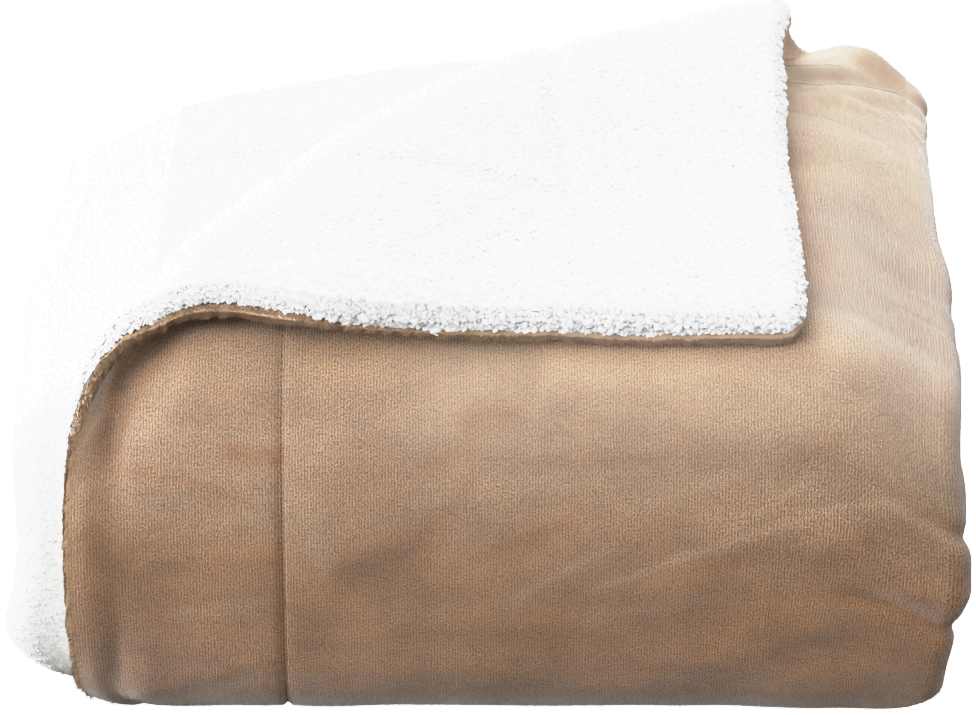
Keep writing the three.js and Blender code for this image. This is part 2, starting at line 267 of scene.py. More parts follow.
BIG_BEND = LEVEL_PITCH * 1.5
SMALL_BEND = LEVEL_PITCH / 2
FRONT_Y = FRONT_REACH + STRIP_HALF
NESTED_CLEARANCE = 2 * MM
NESTED_Y = 3 * STRIP_HALF + SMALL_BEND + NESTED_CLEARANCE
BACK_Y = BACK_FOLD_Y - SMALL_BEND - STRIP_HALF
BEND_STEPS = 96

ALONG = Line(
    straight(TOP_END_Y, FRONT_Y, level_z(4), 1)
    + bend(FRONT_Y, level_z(1) + BIG_BEND, -FRONT_REACH, BIG_BEND, 1, 1, BEND_STEPS)
    + straight(FRONT_Y, BACK_Y, level_z(1), -1)
    + bend(BACK_Y, level_z(1) + SMALL_BEND, SMALL_BEND, SMALL_BEND, -1, 1, BEND_STEPS)
    + straight(BACK_Y, NESTED_Y, level_z(2), 1)
    + bend(NESTED_Y, level_z(2) + SMALL_BEND, -SMALL_BEND, SMALL_BEND, -1, -1, BEND_STEPS)
    + straight(NESTED_Y, INNER_END_Y, level_z(3), -1)
)
FRONT_START = TOP_END_Y - FRONT_Y
FRONT_END = ALONG.runs[BEND_STEPS + 1]
BACK_START = FRONT_END + BACK_Y - FRONT_Y
BACK_END = BACK_START + math.pi * SMALL_BEND
NESTED_START = BACK_END + BACK_Y - NESTED_Y
NESTED_END = NESTED_START + math.pi * SMALL_BEND
CREASE_RUN = FRONT_START + CREASE_PAST_SHOULDER
CREASE_LENGTH = CREASE_RUN * math.sqrt(2)


# The turned corner

def crease_place(x, run):
    """How far up the crease a place is, and how far across it, positive on the corner's side."""
    right, back = x - FREE_EDGE_X, CREASE_RUN - run
    return (right + back) / math.sqrt(2), (back - right) / math.sqrt(2)


class Roll:
    """The roll of cloth along the crease, at each of the runs up it."""

    def __init__(self, along):
        t = np.clip(along / CREASE_LENGTH, 0, 1)
        middle = np.sin(np.pi * t) ** 2
        at_back = ramp((t - BACK_START_SHARE) / (1 - BACK_START_SHARE))
        squeeze = 1 - BACK_SQUEEZE * at_back
        self.radius = mix(mix(FRONT_ROLL, BACK_ROLL, t), MIDDLE_ROLL, middle) * squeeze
        flat = mix(FRONT_FLATNESS, BACK_FLATNESS, ramp(t / FLATNESS_RUN))
        self.flatness = flat * (1 + BACK_RISE * at_back) / squeeze
        self.bow = CREASE_BOW * middle
        self.start = self.bow - math.pi * self.radius / 2
        reach = CREASE_LENGTH / 2 - abs(along - CREASE_LENGTH / 2)
        self.span = np.maximum(LEAST_BOW_RUN, reach - self.bow - math.pi * self.radius / 2)

    def profile(self, q):
        """Place across the crease and lift of the cloth that is q past the start of the roll."""
        half = math.pi * self.radius
        angle = np.clip(q, 0, half) / self.radius
        past = np.maximum(0, q - half)
        top = 2 * self.flatness * self.radius
        down = 0.5 + 0.5 * np.cos(np.pi * np.minimum(1, past / FLAP_SINK_RUN))
        flat = -past - 2 * self.bow * ramp(past / self.span)
        across = np.where(past > 0, flat, self.radius * np.sin(angle))
        round_lift = self.flatness * self.radius * (1 - np.cos(angle))
        lift = np.where(past > 0, FLAP_LIFT + (top - FLAP_LIFT) * down, round_lift)
        return across, lift


def turned(x, run, offset):
    """x, run and height in the strip of a place on the corner's side of the crease."""
    along, across = crease_place(x, run)
    roll = Roll(along)
    q = across - roll.start
    here = roll.profile(q)
    ahead, behind = roll.profile(q + STEP), roll.profile(np.maximum(0, q - STEP))
    forward, rise = ahead[0] - behind[0], ahead[1] - behind[1]
    size = np.hypot(forward, rise) + TINY
    new = roll.start + here[0] - offset * rise / size
    lift = here[1] + offset * forward / size
    new_x = FREE_EDGE_X + (along - new) / math.sqrt(2)
    new_run = CREASE_RUN - (along + new) / math.sqrt(2)
    return new_x, new_run, FIRST_PLY + CREASE_LIFT + lift


# How the soft pack settles: shares of its height that each part loses

CROWN = 0.02
RIGHT_DROP = 0.17
LESS_DROP_AT_BACK = 0.035
LEFT_DROP = 0.13
BACK_LEFT_DROP = 0.09
DIP = 0.05


def height_at(x, y):
    back = np.clip((y - 60 * MM) / (450 * MM), 0, 1)
    crown = CROWN * (1 - (x / (300 * MM)) ** 2) * back
    right = (RIGHT_DROP - LESS_DROP_AT_BACK * share(y, 260, 200)) * share(x, 165, 125) ** 2
    left = LEFT_DROP * share(-x, 140, 150) ** 2
    back_left = BACK_LEFT_DROP * share(-x, -40, 320) * back
    dip = DIP * hill(x - 195 * MM, 28) * share(y, 440, 70)
    return 1 + crown - right - left - back_left - dip


# How far its sides lean, bulge and tuck in
RIGHT_FOOT = -3 * MM
RIGHT_LEAN = 14 * MM
BACK_LEAN = 6 * MM
RIGHT_BULGE = 3 * MM
LEFT_BULGE = 4.5 * MM
FOLD_BULGE = 1.5 * MM
FOLD_LEAN = 5 * MM
LOW_FOLD_BULGE = 5 * MM
FOOT_TUCK = 28 * MM
FOLD_TUCK = 24 * MM
FRONT_FULLNESS = 15 * MM
LESS_FULL_AT_LEFT = 0.85
BACK_SPREAD = 6 * MM
LEFT_DRIFT = 30 * MM


def settle(x, y, z):
    fold = share(-x, 245, 40)
    back_lean = BACK_LEAN * share(y, 180, 160) * share(z, 0, 180)
    right = RIGHT_FOOT + RIGHT_LEAN * share(z, 0, 210) + back_lean + RIGHT_BULGE * hill(z - 150 * MM, 60)
    left = (LEFT_BULGE + FOLD_BULGE * fold) * np.sin(np.pi * np.minimum(1, z / HEIGHT))
    left = left + fold * (FOLD_LEAN * share(z, 150, 100) + LOW_FOLD_BULGE * hill(z - 85 * MM, 38))
    tuck = FOOT_TUCK * ramp(1 - z / (48 * MM)) + FOLD_TUCK * ramp(1 - z / (88 * MM)) * fold
    sideways = share(abs(x), 120, 160) * (np.where(x > 0, right, left) - tuck)
    fullness = FRONT_FULLNESS * hill(z - 38 * MM, 42) * ramp(1 - y / (130 * MM))
    fullness = fullness * (1 - LESS_FULL_AT_LEFT * share(-x, 200, 60))
    spread = BACK_SPREAD * hill(x - 185 * MM, 60) * share(y, 380, 100)
    drift = LEFT_DRIFT * share(-x, 0, 300) * share(y, 300, 200) * (z / HEIGHT)
    new_x = x + np.sign(x) * sideways + spread
    return np.stack([new_x, y - fullness - drift, z * height_at(x, y)], -1)


# The waves that the fold lines stray by: the height and length of each, in millimetres
RIGHT_WAVES = [(3.2, 47), (1.6, 21)]
LEFT_WAVES = [(3.5, 62), (1.5, 27)]
WAVE_STARTS = (1.1, 3.3, 0.4)
THIRD_PLY_SET_BACK = 5 * MM


def waves(rows, run, start):
    return sum(height * MM * np.sin(run / (length * MM) + start) for height, length in rows)


def wander(u, x, run):
    """How far the fold lines stray sideways."""
    second, third, left = WAVE_STARTS
    right = waves(RIGHT_WAVES, run, np.where(u < THIRD_START, second, third))
    right = right - np.where(u < THIRD_START, 0, THIRD_PLY_SET_BACK)
    keep = (x > 0) | (u > OUTER_END)
    return np.where(x > 0, right, waves(LEFT_WAVES, run, left)) * share(abs(x), 225, 30) * keep


# Soft troughs and ridges, in millimetres: the half width and height of each,
# below 0 for a trough, and the places of u and v that it runs through

CREASES = [
    # half width, height, then the places
    (14, 8.0, (488, 0), (506, 6)),
    (7, -4.0, (444, 38), (464, 30)),
    (9, 4.0, (444, 64), (467, 46), (482, 26), (494, 8)),
    (9, -4.5, (456, 68), (487, 38), (504, 24), (520, 24)),
    (10, 4.0, (440, 92), (467, 88), (489, 62), (504, 46)),
    (3, -0.8, (497, 72), (510, 62), (524, 74)),
    (3, 0.6, (496, 80), (511, 70), (526, 84)),
    (3, -0.7, (494, 92), (512, 80), (526, 96)),
    (9, -4.6, (62, 428), (34, 446), (27, 468)),
    (7, -3.0, (24, 440), (28, 481)),
    (8, -0.5, (29, 500), (29, 580)),
    (7, -1.8, (26, 606), (21, 640)),
    (10, 1.8, (10, 430), (11, 650)),
    (5, 0.7, (50, 620), (112, 600)),
    (6, -0.5, (46, 634), (110, 616)),
    (5, -0.9, (510, 370), (556, 358)),
    (7, 1.0, (505, 338), (552, 330)),
    (6, -4.0, (490, 500), (556, 514)),
    (9, 1.8, (500, 548), (552, 548)),
    (7, -4.0, (480, 560), (556, 578)),
    (4, 1.8, (38, 203), (76, 139)),
    (4, 1.8, (22, 191), (42, 162)),
    (40, 8.5, (0, 322), (0, 385)),
    (25, 2.0, (0, 20), (0, 50)),
    (25, -1.5, (0, 110), (0, 270)),
    (32, 3.0, (0, 0), (0, 120)),
]
CREASE_FADE = 22


# Marks that hands left in the plush's nap, and painted shade, in the same way: above 0 where it looks
# lighter

NAP_AND_SHADE_MARKS = [
    # half width, strength, then the places
    # these two rows are painted shade in the hollow under the turned corner's arch
    (9, -1.7, (56, 432), (36, 447)),
    (7, -1.4, (30, 452), (26, 476)),
    # these two rows are painted shade in the valleys between the pleats at the back right
    (7, -1.0, (444, 40), (462, 33)),
    (8, -0.8, (452, 68), (487, 40), (504, 28), (518, 28)),
    (3, -2.6, (80, 428), (96, 428)),
    (8, 0.9, (30, 634), (520, 634)),
    (8, 0.8, (44, 632), (108, 612)),
    (14, 1.1, (290, 447), (450, 445)),
    (14, -0.3, (40, 465), (130, 465)),
    (6, -1, (240, 470), (264, 468)),
    (5, -0.8, (100, 485), (123, 487)),
    (7, -0.5, (216, 491), (237, 485)),
    (4, -0.45, (294, 490), (345, 489)),
    (10, -0.8, (164, 551), (210, 535)),
    (6, -0.45, (198, 538), (240, 502)),
    (5, -0.55, (38, 547), (122, 541)),
    (9, -0.5, (428, 490), (453, 481)),
    (6, -0.5, (447, 541), (469, 526)),
    (5, -0.55, (428, 594), (513, 567)),
    (5, -0.45, (228, 584), (319, 587)),
    (8, -0.8, (13, 517), (28, 540)),
    (5, -0.8, (25, 556), (24, 601)),
    (15, -0.3, (366, 482), (404, 494)),
    (5, -0.4, (261, 535), (297, 522)),
    (4, -0.5, (36, 591), (85, 599)),
    (12, -0.25, (165, 482), (198, 496)),
    (8, -0.3, (294, 467), (342, 478)),
    (5, -0.3, (379, 544), (413, 535)),
    (5, -0.3, (136, 591), (209, 597)),
    (4, -0.3, (331, 603), (417, 607)),
    (3, -0.4, (39, 490), (96, 506)),
    (8, 0.9, (68, 452), (50, 469)),
    (8, 0.6, (132, 450), (378, 451)),
    (6, 0.4, (294, 449), (412, 452)),
    (3, 0.5, (35, 473), (119, 479)),
    (4, 0.6, (71, 571), (110, 566)),
    (9, 0.5, (138, 509), (154, 544)),
    (3, 0.6, (270, 561), (318, 537)),
    (2.5, 0.8, (318, 557), (367, 539)),
    (2.5, 0.7, (367, 539), (491, 500)),
    (4, 0.5, (342, 510), (401, 496)),
    (3, 0.4, (401, 520), (434, 501)),
    (4, 0.4, (467, 461), (513, 435)),
    (6, 0.35, (216, 511), (294, 496)),
    (5, 0.3, (156, 476), (222, 460)),
    (4, 0.35, (318, 573), (391, 561)),
    (5, 0.3, (197, 573), (270, 567)),
    (6, 0.35, (50, 512), (114, 519)),
]
MARK_FADE = 9


def strokes(rows, u, v, fade):
    """The sum of soft strokes: a half width, a strength and the places each runs through."""
    total = np.zeros(np.shape(u))
    for width, strength, *places in rows:
        nearest = np.zeros(np.shape(u))
        for (u0, v0), (u1, v1) in zip(places, places[1:]):
            du, dv = (u1 - u0) * MM, (v1 - v0) * MM
            length = math.hypot(du, dv)
            pu, pv = u - u0 * MM, v - v0 * MM
            along = (pu * du + pv * dv) / length
            across = (pv * du - pu * dv) / length
            beyond = np.maximum(0, np.maximum(-along, along - length))
            nearest = np.maximum(nearest, hill(across, width) * hill(beyond, fade))
        total += strength * nearest
    return total


UNEVENNESS = [(1.3, 75, 11), (0.7, 31, 12)]


def undulation(u, v):
    """The unevenness that both cloths share."""
    return (uneven(UNEVENNESS, u, v) + strokes(CREASES, u, v, CREASE_FADE)) * MM


def with_round_corner(u, v):
    """u and v with the turned corner's sharp point drawn in to a quarter circle."""
    a, b = np.maximum(CORNER_RADIUS - u, 0), np.maximum(CORNER_RADIUS - v, 0)
    in_corner = (a > 0) & (b > 0)
    pull = np.maximum(a, b) / np.maximum(np.hypot(a, b), TINY)
    sides = (a, u), (b, v)
    return (np.where(in_corner, CORNER_RADIUS - inset * pull, flat) for inset, flat in sides)


# How far the turned corner's end edge strays to the right, where and how widely, in millimetres
END_EDGE_STRAYS = [(4.5, 385, 45), (-3, 215, 70)]


def end_edge_stray(u, v):
    stray = sum(reach * hill(u - middle * MM, width) for reach, middle, width in END_EDGE_STRAYS)
    return stray * MM * ramp(1 - v / (90 * MM))


def point(u, v, offset):
    """Places of the cloth's (u, v) at that offset to the plush side, before they are centred."""
    offset = offset + undulation(u, v)
    u, v = with_round_corner(u, v)
    x, w, nx, nw = ACROSS.at(u)
    outer = u <= OUTER_END
    along, across = crease_place(x, v)
    q = across - Roll(along).start
    is_turned = outer & (q > 0)
    lift = CREASE_LIFT * ramp(1 + q / CREASE_LIFT_RUN) * outer
    corner = turned(x, v, offset)
    turned_x = corner[0] + end_edge_stray(u, v)
    new_x = np.where(is_turned, turned_x, x + offset * nx + wander(u, x, v))
    run = np.where(is_turned, corner[1], v)
    height = np.where(is_turned, corner[2], w + offset * nw + lift)
    y, z, ny, nz = ALONG.at(run)
    to_end = np.clip((y - NESTED_Y) / (INNER_END_Y - NESTED_Y), 0, 1) * (v > NESTED_END)
    y = y + height * ny - END_STAGGER * height * to_end
    return settle(new_x, y, z + height * nz)


MIDDLE = np.array([2.2, 254.38, 0]) * MM


def placed(u, v, offset):
    return point(u, v, offset) - MIDDLE


# Seams and edges

def turned_past(u, v):
    """How far past the start of the crease's roll a place is, below 0 where it isn't turned."""
    x = ACROSS.at(u)[0]
    along, across = crease_place(x, v)
    return np.where(u <= OUTER_END, across - Roll(along).start, -1)


FLAP_BORDER_SIDE = 88 * MM
FLAP_BORDER_END = 97 * MM


def seam_distance(u, v):
    """Distance from the border seam, which runs round the cloth, and from its mitres."""
    on_flap = ramp(turned_past(u, v) / (math.pi * MIDDLE_ROLL))
    side = np.minimum(u + (BORDER - FLAP_BORDER_SIDE) * on_flap, ACROSS.length - u)
    end = np.minimum(v + (BORDER - FLAP_BORDER_END) * on_flap, ALONG.length - v)
    inner = np.minimum(side, end)
    mitre = abs(np.minimum(u, ACROSS.length - u) - np.minimum(v, ALONG.length - v)) / math.sqrt(2)
    return abs(inner - BORDER), np.where(inner < BORDER, mitre, 1.0)


HIDDEN_SEAM = 0.85


def end_seam_share(u, v):
    """How much of its relief the seam has: little along the cloth's end, where the pile hides it."""
    past = BORDER + 20 * MM
    return 1 - HIDDEN_SEAM * (v < past) * (u > past)


def edge_distance(u, v):
    return np.minimum(np.minimum(u, ACROSS.length - u), np.minimum(v, ALONG.length - v))


# Closed cloth meshes, fine where they show

def lines(rows):
    """Places of the lattice lines: each row is a stretch's end and its number of steps."""
    places = [0.0]
    for end, steps in rows:
        places.extend(np.linspace(places[-1], end, steps + 1)[1:])
    return np.array(places)


def subdivided(places, factor):
    steps = np.arange((len(places) - 1) * factor + 1) / factor
    return np.interp(steps, np.arange(len(places)), places)


class Lattice:
    """Faces over lattice cells of factor by factor steps, cut fine where the cell is refined."""

    def __init__(self, fine_u, fine_v, factor, refined):
        self.factor, self.refined = factor, refined
        used = np.zeros((len(fine_u), len(fine_v)), bool)
        used[::factor, ::factor] = True
        for i, j in np.argwhere(refined) * factor:
            used[i:i + factor + 1, j:j + factor + 1] = True
        self.number = np.full(used.shape, -1)
        self.number[used] = np.arange(used.sum())
        at = np.argwhere(used)
        self.u, self.v = list(fine_u[at[:, 0]]), list(fine_v[at[:, 1]])
        self.fine_u, self.fine_v = fine_u, fine_v
        self.faces = self.fine_faces() + self.plain_faces()
        self.u, self.v = np.array(self.u), np.array(self.v)

    def quads(self, i, j, step):
        n = self.number
        corners = (n[i, j], n[i + step, j], n[i + step, j + step], n[i, j + step])
        return np.stack(corners, 1).tolist()

    def fine_faces(self):
        cut = np.repeat(np.repeat(self.refined, self.factor, 0), self.factor, 1)
        i, j = np.nonzero(cut)
        return self.quads(i, j, 1)

    def plain_faces(self):
        near = np.pad(self.refined, 1)
        beside = near[:-2, 1:-1] | near[2:, 1:-1] | near[1:-1, :-2] | near[1:-1, 2:]
        i, j = np.nonzero(~self.refined & ~beside)
        faces = self.quads(i * self.factor, j * self.factor, self.factor)
        for i, j in np.argwhere(~self.refined & beside):
            faces.extend(self.fan(i * self.factor, j * self.factor))
        return faces

    def fan(self, i, j):
        """Triangles from a cell's middle to every used place on its rim."""
        f = self.factor
        rim = [(i + k, j) for k in range(f)] + [(i + f, j + k) for k in range(f)]
        rim += [(i + f - k, j + f) for k in range(f)] + [(i, j + f - k) for k in range(f)]
        rim = [self.number[place] for place in rim if self.number[place] >= 0]
        self.u.append((self.fine_u[i] + self.fine_u[i + f]) / 2)
        self.v.append((self.fine_v[j] + self.fine_v[j + f]) / 2)
        middle = len(self.u) - 1
        return [(middle, rim[k], rim[(k + 1) % len(rim)]) for k in range(len(rim))]

    def sides(self):
        """The used places along the four sides, in order round the cloth, with their runs."""
        n = self.number
        row = [(n[:, 0], self.fine_u), (n[-1, :], self.fine_v)]
        row += [(n[::-1, -1], -self.fine_u[::-1]), (n[0, ::-1], -self.fine_v[::-1])]
        return [[(run, k) for k, run in zip(side, runs) if k >= 0] for side, runs in row]


def rim_faces(upper, lower, shift):
    """Triangles between the matching sides of two lattices, the lower one's numbers shifted."""
    faces = []
    for top, bottom in zip(upper.sides(), lower.sides()):
        i = j = 0
        while i < len(top) - 1 or j < len(bottom) - 1:
            next_top = top[i + 1][0] if i < len(top) - 1 else math.inf
            next_bottom = bottom[j + 1][0] if j < len(bottom) - 1 else math.inf
            if next_top <= next_bottom:
                faces.append((top[i][1], bottom[j][1] + shift, top[i + 1][1]))
                i += 1
            else:
                faces.append((top[i][1], bottom[j][1] + shift, bottom[j + 1][1] + shift))
                j += 1
    return faces


RIM = 12 * MM
U_LINES = lines([
    (RIM, 3),
    (BORDER, 12),
    (OUTER_END, 39),
    (SECOND_START, 6),
    (SECOND_END, 54),
    (THIRD_START, 3),
    (THIRD_END, 18),
    (INNER_START, 6),
    (ACROSS.length - RIM, 18),
    (ACROSS.length, 3),
])
V_LINES = lines([
    (RIM, 3),
    (FRONT_START, 42),
    (FRONT_END, 36),
    (BACK_START, 12),
    (BACK_END, 15),
    (NESTED_START, 12),
    (NESTED_END, 9),
    (ALONG.length - RIM, 12),
    (ALONG.length, 3),
])
PLUSH_FACTOR = 4
SHERPA_FACTOR = 3
INNER_FACTOR = 3


def cell_middles(u, v):
    return np.meshgrid((u[1:] + u[:-1]) / 2, (v[1:] + v[:-1]) / 2, indexing="ij")


# How far past their own edge the parts that show are cut fine
ROLL_MARGIN = 25 * MM
BARE_MARGIN = 15 * MM
LEFT_START = SECOND_END - 45 * MM
LEFT_END = THIRD_START + 20 * MM
TOP_MARGIN = 20 * MM
CORNER_END_MARGIN = 25 * MM
CORNER_SIDE_MARGIN = 30 * MM
UNDER_ROLL = 60 * MM
ARCH_WIDTH = 70 * MM
ARCH_START = 330 * MM
FOOT_MARGIN = 10 * MM
ROLLED_REACH = 130 * MM
LEAST_CREASE = 1


def near_roll(u, v):
    return turned_past(u, v) > -ROLL_MARGIN


def uncovered(u, v):
    """Where the second ply lies bare because the corner above it is turned away."""
    along, across = crease_place(ACROSS.at(u)[0], v)
    return (u > SECOND_START) & (u < SECOND_END) & (across > Roll(along).start - BARE_MARGIN)


def beside_corner(u, v, margin, side_margin):
    """The outer ply to the right of the turned corner's end, and in front of its side."""
    right_of_end = ACROSS.at(u)[0] > FREE_EDGE_X + CREASE_RUN - margin
    return right_of_end | (v > CREASE_RUN - side_margin)


def plush_shows(u, v):
    outer = u < OUTER_END
    top = outer & (turned_past(u, v) < UNDER_ROLL) & (v < FRONT_START + TOP_MARGIN)
    top &= beside_corner(u, v, CORNER_END_MARGIN, CORNER_SIDE_MARGIN)
    arch = (u < ARCH_WIDTH) & (v > ARCH_START) & (v < FRONT_END)
    front = outer & (v > FRONT_START) & (v < FRONT_END + FOOT_MARGIN)
    back = outer & (v > BACK_START) & (v < BACK_END)
    folds = (u > OUTER_END) & (u < SECOND_START) & (v < FRONT_END)
    return top | arch | front | back | folds | ((edge_distance(u, v) < RIM) & outer)


def sherpa_shows(u, v):
    left = (u > LEFT_START) & (u < LEFT_END)
    rim = (edge_distance(u, v) < RIM) & ((u < OUTER_END) | (v < BORDER))
    return near_roll(u, v) & (u < OUTER_END) | uncovered(u, v) | left | rim


def cloth_lattices(shows, factor):
    cell_u, cell_v = cell_middles(U_LINES, V_LINES)
    fine_u, fine_v = subdivided(U_LINES, factor), subdivided(V_LINES, factor)
    upper = Lattice(fine_u, fine_v, factor, shows(cell_u, cell_v))
    cell_u, cell_v = cell_middles(U_LINES[::INNER_FACTOR], V_LINES[::INNER_FACTOR])
    rolled = near_roll(cell_u, cell_v) & (turned_past(cell_u, cell_v) < ROLLED_REACH)
    creased = abs(strokes(CREASES, cell_u, cell_v, CREASE_FADE)) > LEAST_CREASE
    lower = Lattice(U_LINES, V_LINES, INNER_FACTOR, (rolled | creased) & (cell_u < OUTER_END))
    return upper, lower


# How strong the painted shade along the plush's left edge is
LEFT_SHADE = 0.15
# How strong the painted sheen along the front's shoulder is
SHOULDER_PAINTED_SHEEN = 0.45


def nap_and_shade(u, v):
    """Lightness of the nap marks, with painted shade that darkens the pack's foot and its left edge."""
    marks = strokes(NAP_AND_SHADE_MARKS, u, v, MARK_FADE)
    # painted shade: darker along the left edge here, and towards the pack's foot in the line below
    side = LEFT_SHADE * ramp(1 - u / (140 * MM)) * share(v, 430, 60)
    return marks - share(v, 450, 190) - side


def smooth_highlight_share(v):
    """1 over the top's back, where painted highlight smooths the pile's pattern, falling to 0 towards
    the front.
    """
    return share(340 * MM - v, 0, 200)


def painted_sheen_share(u, v):
    """Painted sheen that makes the pile paler: all over the top's back and a little along the shoulder.
    """
    shoulder = SHOULDER_PAINTED_SHEEN * hill(v - 455 * MM, 38) * share(u, 170, 60)
    return np.maximum(share(230 * MM - v, 0, 110), shoulder)


def texture_run(u, v):
    """The run along the cloth with the stretch that the bends give it, for even patterns."""
    ny, nz = ALONG.at(v)[2:]
    turns = np.unwrap(np.arctan2(ALONG.rows[:, 3], ALONG.rows[:, 2]))
    angle = np.interp(v, ALONG.runs, turns - turns[0])
    return v + ACROSS.at(u)[1] * angle


# Surfaces of the two cloths: each gives the u, v and offset that a place of the cloth moves to

HEM = 3.5 * MM
HEM_REACH = 9 * MM
THINNER_HEM = 2.7 * MM
HEM_WAVES = [(1.2, 34, 21), (0.8, 11, 22)]
PLUSH_EDGE_RADIUS = 4 * MM
SHERPA_EDGE_RADIUS = 6 * MM
SHERPA_SINK = 2 * MM
SHERPA_SET_BACK = 2.5 * MM
DOME_SIZE = 6.2
DOME_HEIGHT = 1.2 * MM

# Troughs along the seams: the depth and width of each, in millimetres
PLUSH_SEAM = [(2.4, 2), (0.6, 8)]
SHERPA_SEAM = [(4, 5)]
SHERPA_MITRE = [(1.2, 6)]


def troughs(rows, distance):
    return sum(depth * hill(distance, width) for depth, width in rows) * MM


def hem_shift(u, v):
    """How far the plush wraps round the edge, to the sherpa side."""
    thin = share(v, 60, 40) * share(310 * MM - v, 0, 50) * (u < v)
    depth = HEM + uneven(HEM_WAVES, u + v, u - v) * MM - THINNER_HEM * thin
    return depth * (1 - ramp(edge_distance(u, v) / HEM_REACH))


def rounded(u, v, radius):
    """0 at the cloth's edge and 1 from that radius on, as a quarter circle."""
    t = np.clip(edge_distance(u, v) / radius, 0, 1)
    return np.sqrt(1 - (1 - t) ** 2)


def set_back(u, v):
    """u and v of the sherpa, whose edge ends short of the plush's."""
    moved = []
    for place, length in ((u, ACROSS.length), (v, ALONG.length)):
        inwards = np.clip((length - place) / RIM, 0, 1) - np.clip(place / RIM, 0, 1)
        moved.append(place + SHERPA_SET_BACK * inwards)
    return moved


def plush_outside(u, v):
    relief = troughs(PLUSH_SEAM, seam_distance(u, v)[0]) * end_seam_share(u, v)
    middle = (plush_inside(u, v)[2] + PLUSH_SIDE) / 2
    return u, v, middle + (PLUSH_SIDE - middle) * rounded(u, v, PLUSH_EDGE_RADIUS) - relief


def plush_inside(u, v):
    return u, v, SEWN_GAP / 2 - hem_shift(u, v)


def sherpa_outside(u, v):
    seam, mitre = seam_distance(u, v)
    relief = troughs(SHERPA_SEAM, seam) + troughs(SHERPA_MITRE, mitre)
    near, number = cells(u, texture_run(u, v), DOME_SIZE, 31)
    domes = DOME_HEIGHT * (1 - np.clip(near, 0, 1) ** 2) * (0.5 + 0.5 * number)
    new_u, new_v, low = sherpa_inside(u, v)
    full = -(SHERPA_SIDE - SHERPA_SINK) + relief - domes
    middle = (low + full) / 2
    return new_u, new_v, middle + (full - middle) * rounded(u, v, SHERPA_EDGE_RADIUS)


def sherpa_inside(u, v):
    return *set_back(u, v), -SEWN_GAP / 2 - hem_shift(u, v)


# Meshes

def joined(upper, lower, outside, inside):
    """Places and faces of a closed cloth, with its faces turned outwards."""
    top = placed(*outside(upper.u, upper.v))
    places = np.concatenate([top, placed(*inside(lower.u, lower.v))])
    shift = len(top)
    faces = list(upper.faces)
    faces += [tuple(k + shift for k in reversed(face)) for face in lower.faces]
    faces += rim_faces(upper, lower, shift)
    if volume(places, faces) < 0:
        faces = [tuple(reversed(face)) for face in faces]
    return places, faces


def volume(places, faces):
    corners = np.array([(f[0], f[k], f[k + 1]) for f in faces for k in range(1, len(f) - 1)])
    a, b, c = (places[corners[:, k]] for k in range(3))
    return np.einsum("ij,ij->i", a, np.cross(b, c)).sum() / 6


def new_object(name, places, faces, material, normals=None):
    mesh = bpy.data.meshes.new(name)
    mesh.from_pydata(places.tolist(), [], faces)
    mesh.polygons.foreach_set("use_smooth", np.ones(len(mesh.polygons), bool))
    mesh.materials.append(material)
    mesh.update()
    if normals is not None:
        mesh.normals_split_custom_set_from_vertices(normals.tolist())
    piece = bpy.data.objects.new(name, mesh)
    bpy.context.scene.collection.objects.link(piece)
    return piece


def corner_numbers(mesh):
    numbers = np.empty(len(mesh.loops), int)
    mesh.loops.foreach_get("vertex_index", numbers)
    return numbers


def add_uv(mesh, name, values):
    """A UV map with a row of values for each corner of the mesh's faces."""
    layer = mesh.uv_layers.new(name=name)
    layer.data.foreach_set("uv", values.ravel())


def add_value(mesh, name, values):
    """A number for each of the mesh's vertices, which its material reads."""
    mesh.attributes.new(name, "FLOAT", "POINT").data.foreach_set("value", values)


def lattice_share(places, lines_of_cells):
    """Where places lie among lattice lines, from 0 at the first line to 1 at the last."""
    steps = len(lines_of_cells) - 1
    return np.interp(places, lines_of_cells, np.arange(steps + 1)) / steps


BAKE_OUTSIDE = 0.93
BAKE_INSIDE = 0.94
RIM_TRIANGLE = np.array([[0.2, 0.3], [0.8, 0.3], [0.5, 0.7]])


def bake_places(upper, lower, corners):
    """Places on a square for the corners: the outside, a strip for the rim, then the inside."""
    x = np.concatenate([lattice_share(part.u, U_LINES) for part in (upper, lower)])
    y = np.concatenate([lattice_share(part.v, V_LINES) for part in (upper, lower)])
    inside = np.arange(len(x)) >= len(upper.u)
    y = np.where(inside, BAKE_INSIDE + (1 - BAKE_INSIDE) * y, BAKE_OUTSIDE * y)
    places = np.stack([x, y], 1)[corners]
    faces_before_rim = sum(len(face) for face in upper.faces + lower.faces)
    rim = corners[faces_before_rim:].reshape(-1, 3)
    step = 1 / len(rim)
    left = np.arange(len(rim)) * step
    span = BAKE_INSIDE - BAKE_OUTSIDE
    across = left[:, None] + RIM_TRIANGLE[:, 0] * step
    up = np.tile(BAKE_OUTSIDE + span * RIM_TRIANGLE[:, 1], (len(rim), 1))
    places[faces_before_rim:] = np.stack([across, up], -1).reshape(-1, 2)
    return places


def make_cloth(name, shows, factor, outside, inside, material):
    upper, lower = cloth_lattices(shows, factor)
    places, faces = joined(upper, lower, outside, inside)
    piece = new_object(name, places, faces, material)
    u, v = np.concatenate([upper.u, lower.u]), np.concatenate([upper.v, lower.v])
    corners = corner_numbers(piece.data)
    add_uv(piece.data, "OFBake", bake_places(upper, lower, corners))
    add_uv(piece.data, "cloth", np.stack([u, texture_run(u, v)], 1)[corners])
    # nap marks with their painted shade, for the finish to read
    add_value(piece.data, "nap_and_shade", nap_and_shade(u, v))
    outer = u < SECOND_START
    # painted highlight, which smooths the pattern over the top's back
    add_value(piece.data, "smooth_highlight", smooth_highlight_share(v) * outer)
    # painted sheen over the top's back and the shoulder
    add_value(piece.data, "painted_sheen", painted_sheen_share(u, v) * outer)
    return piece


# Tufts

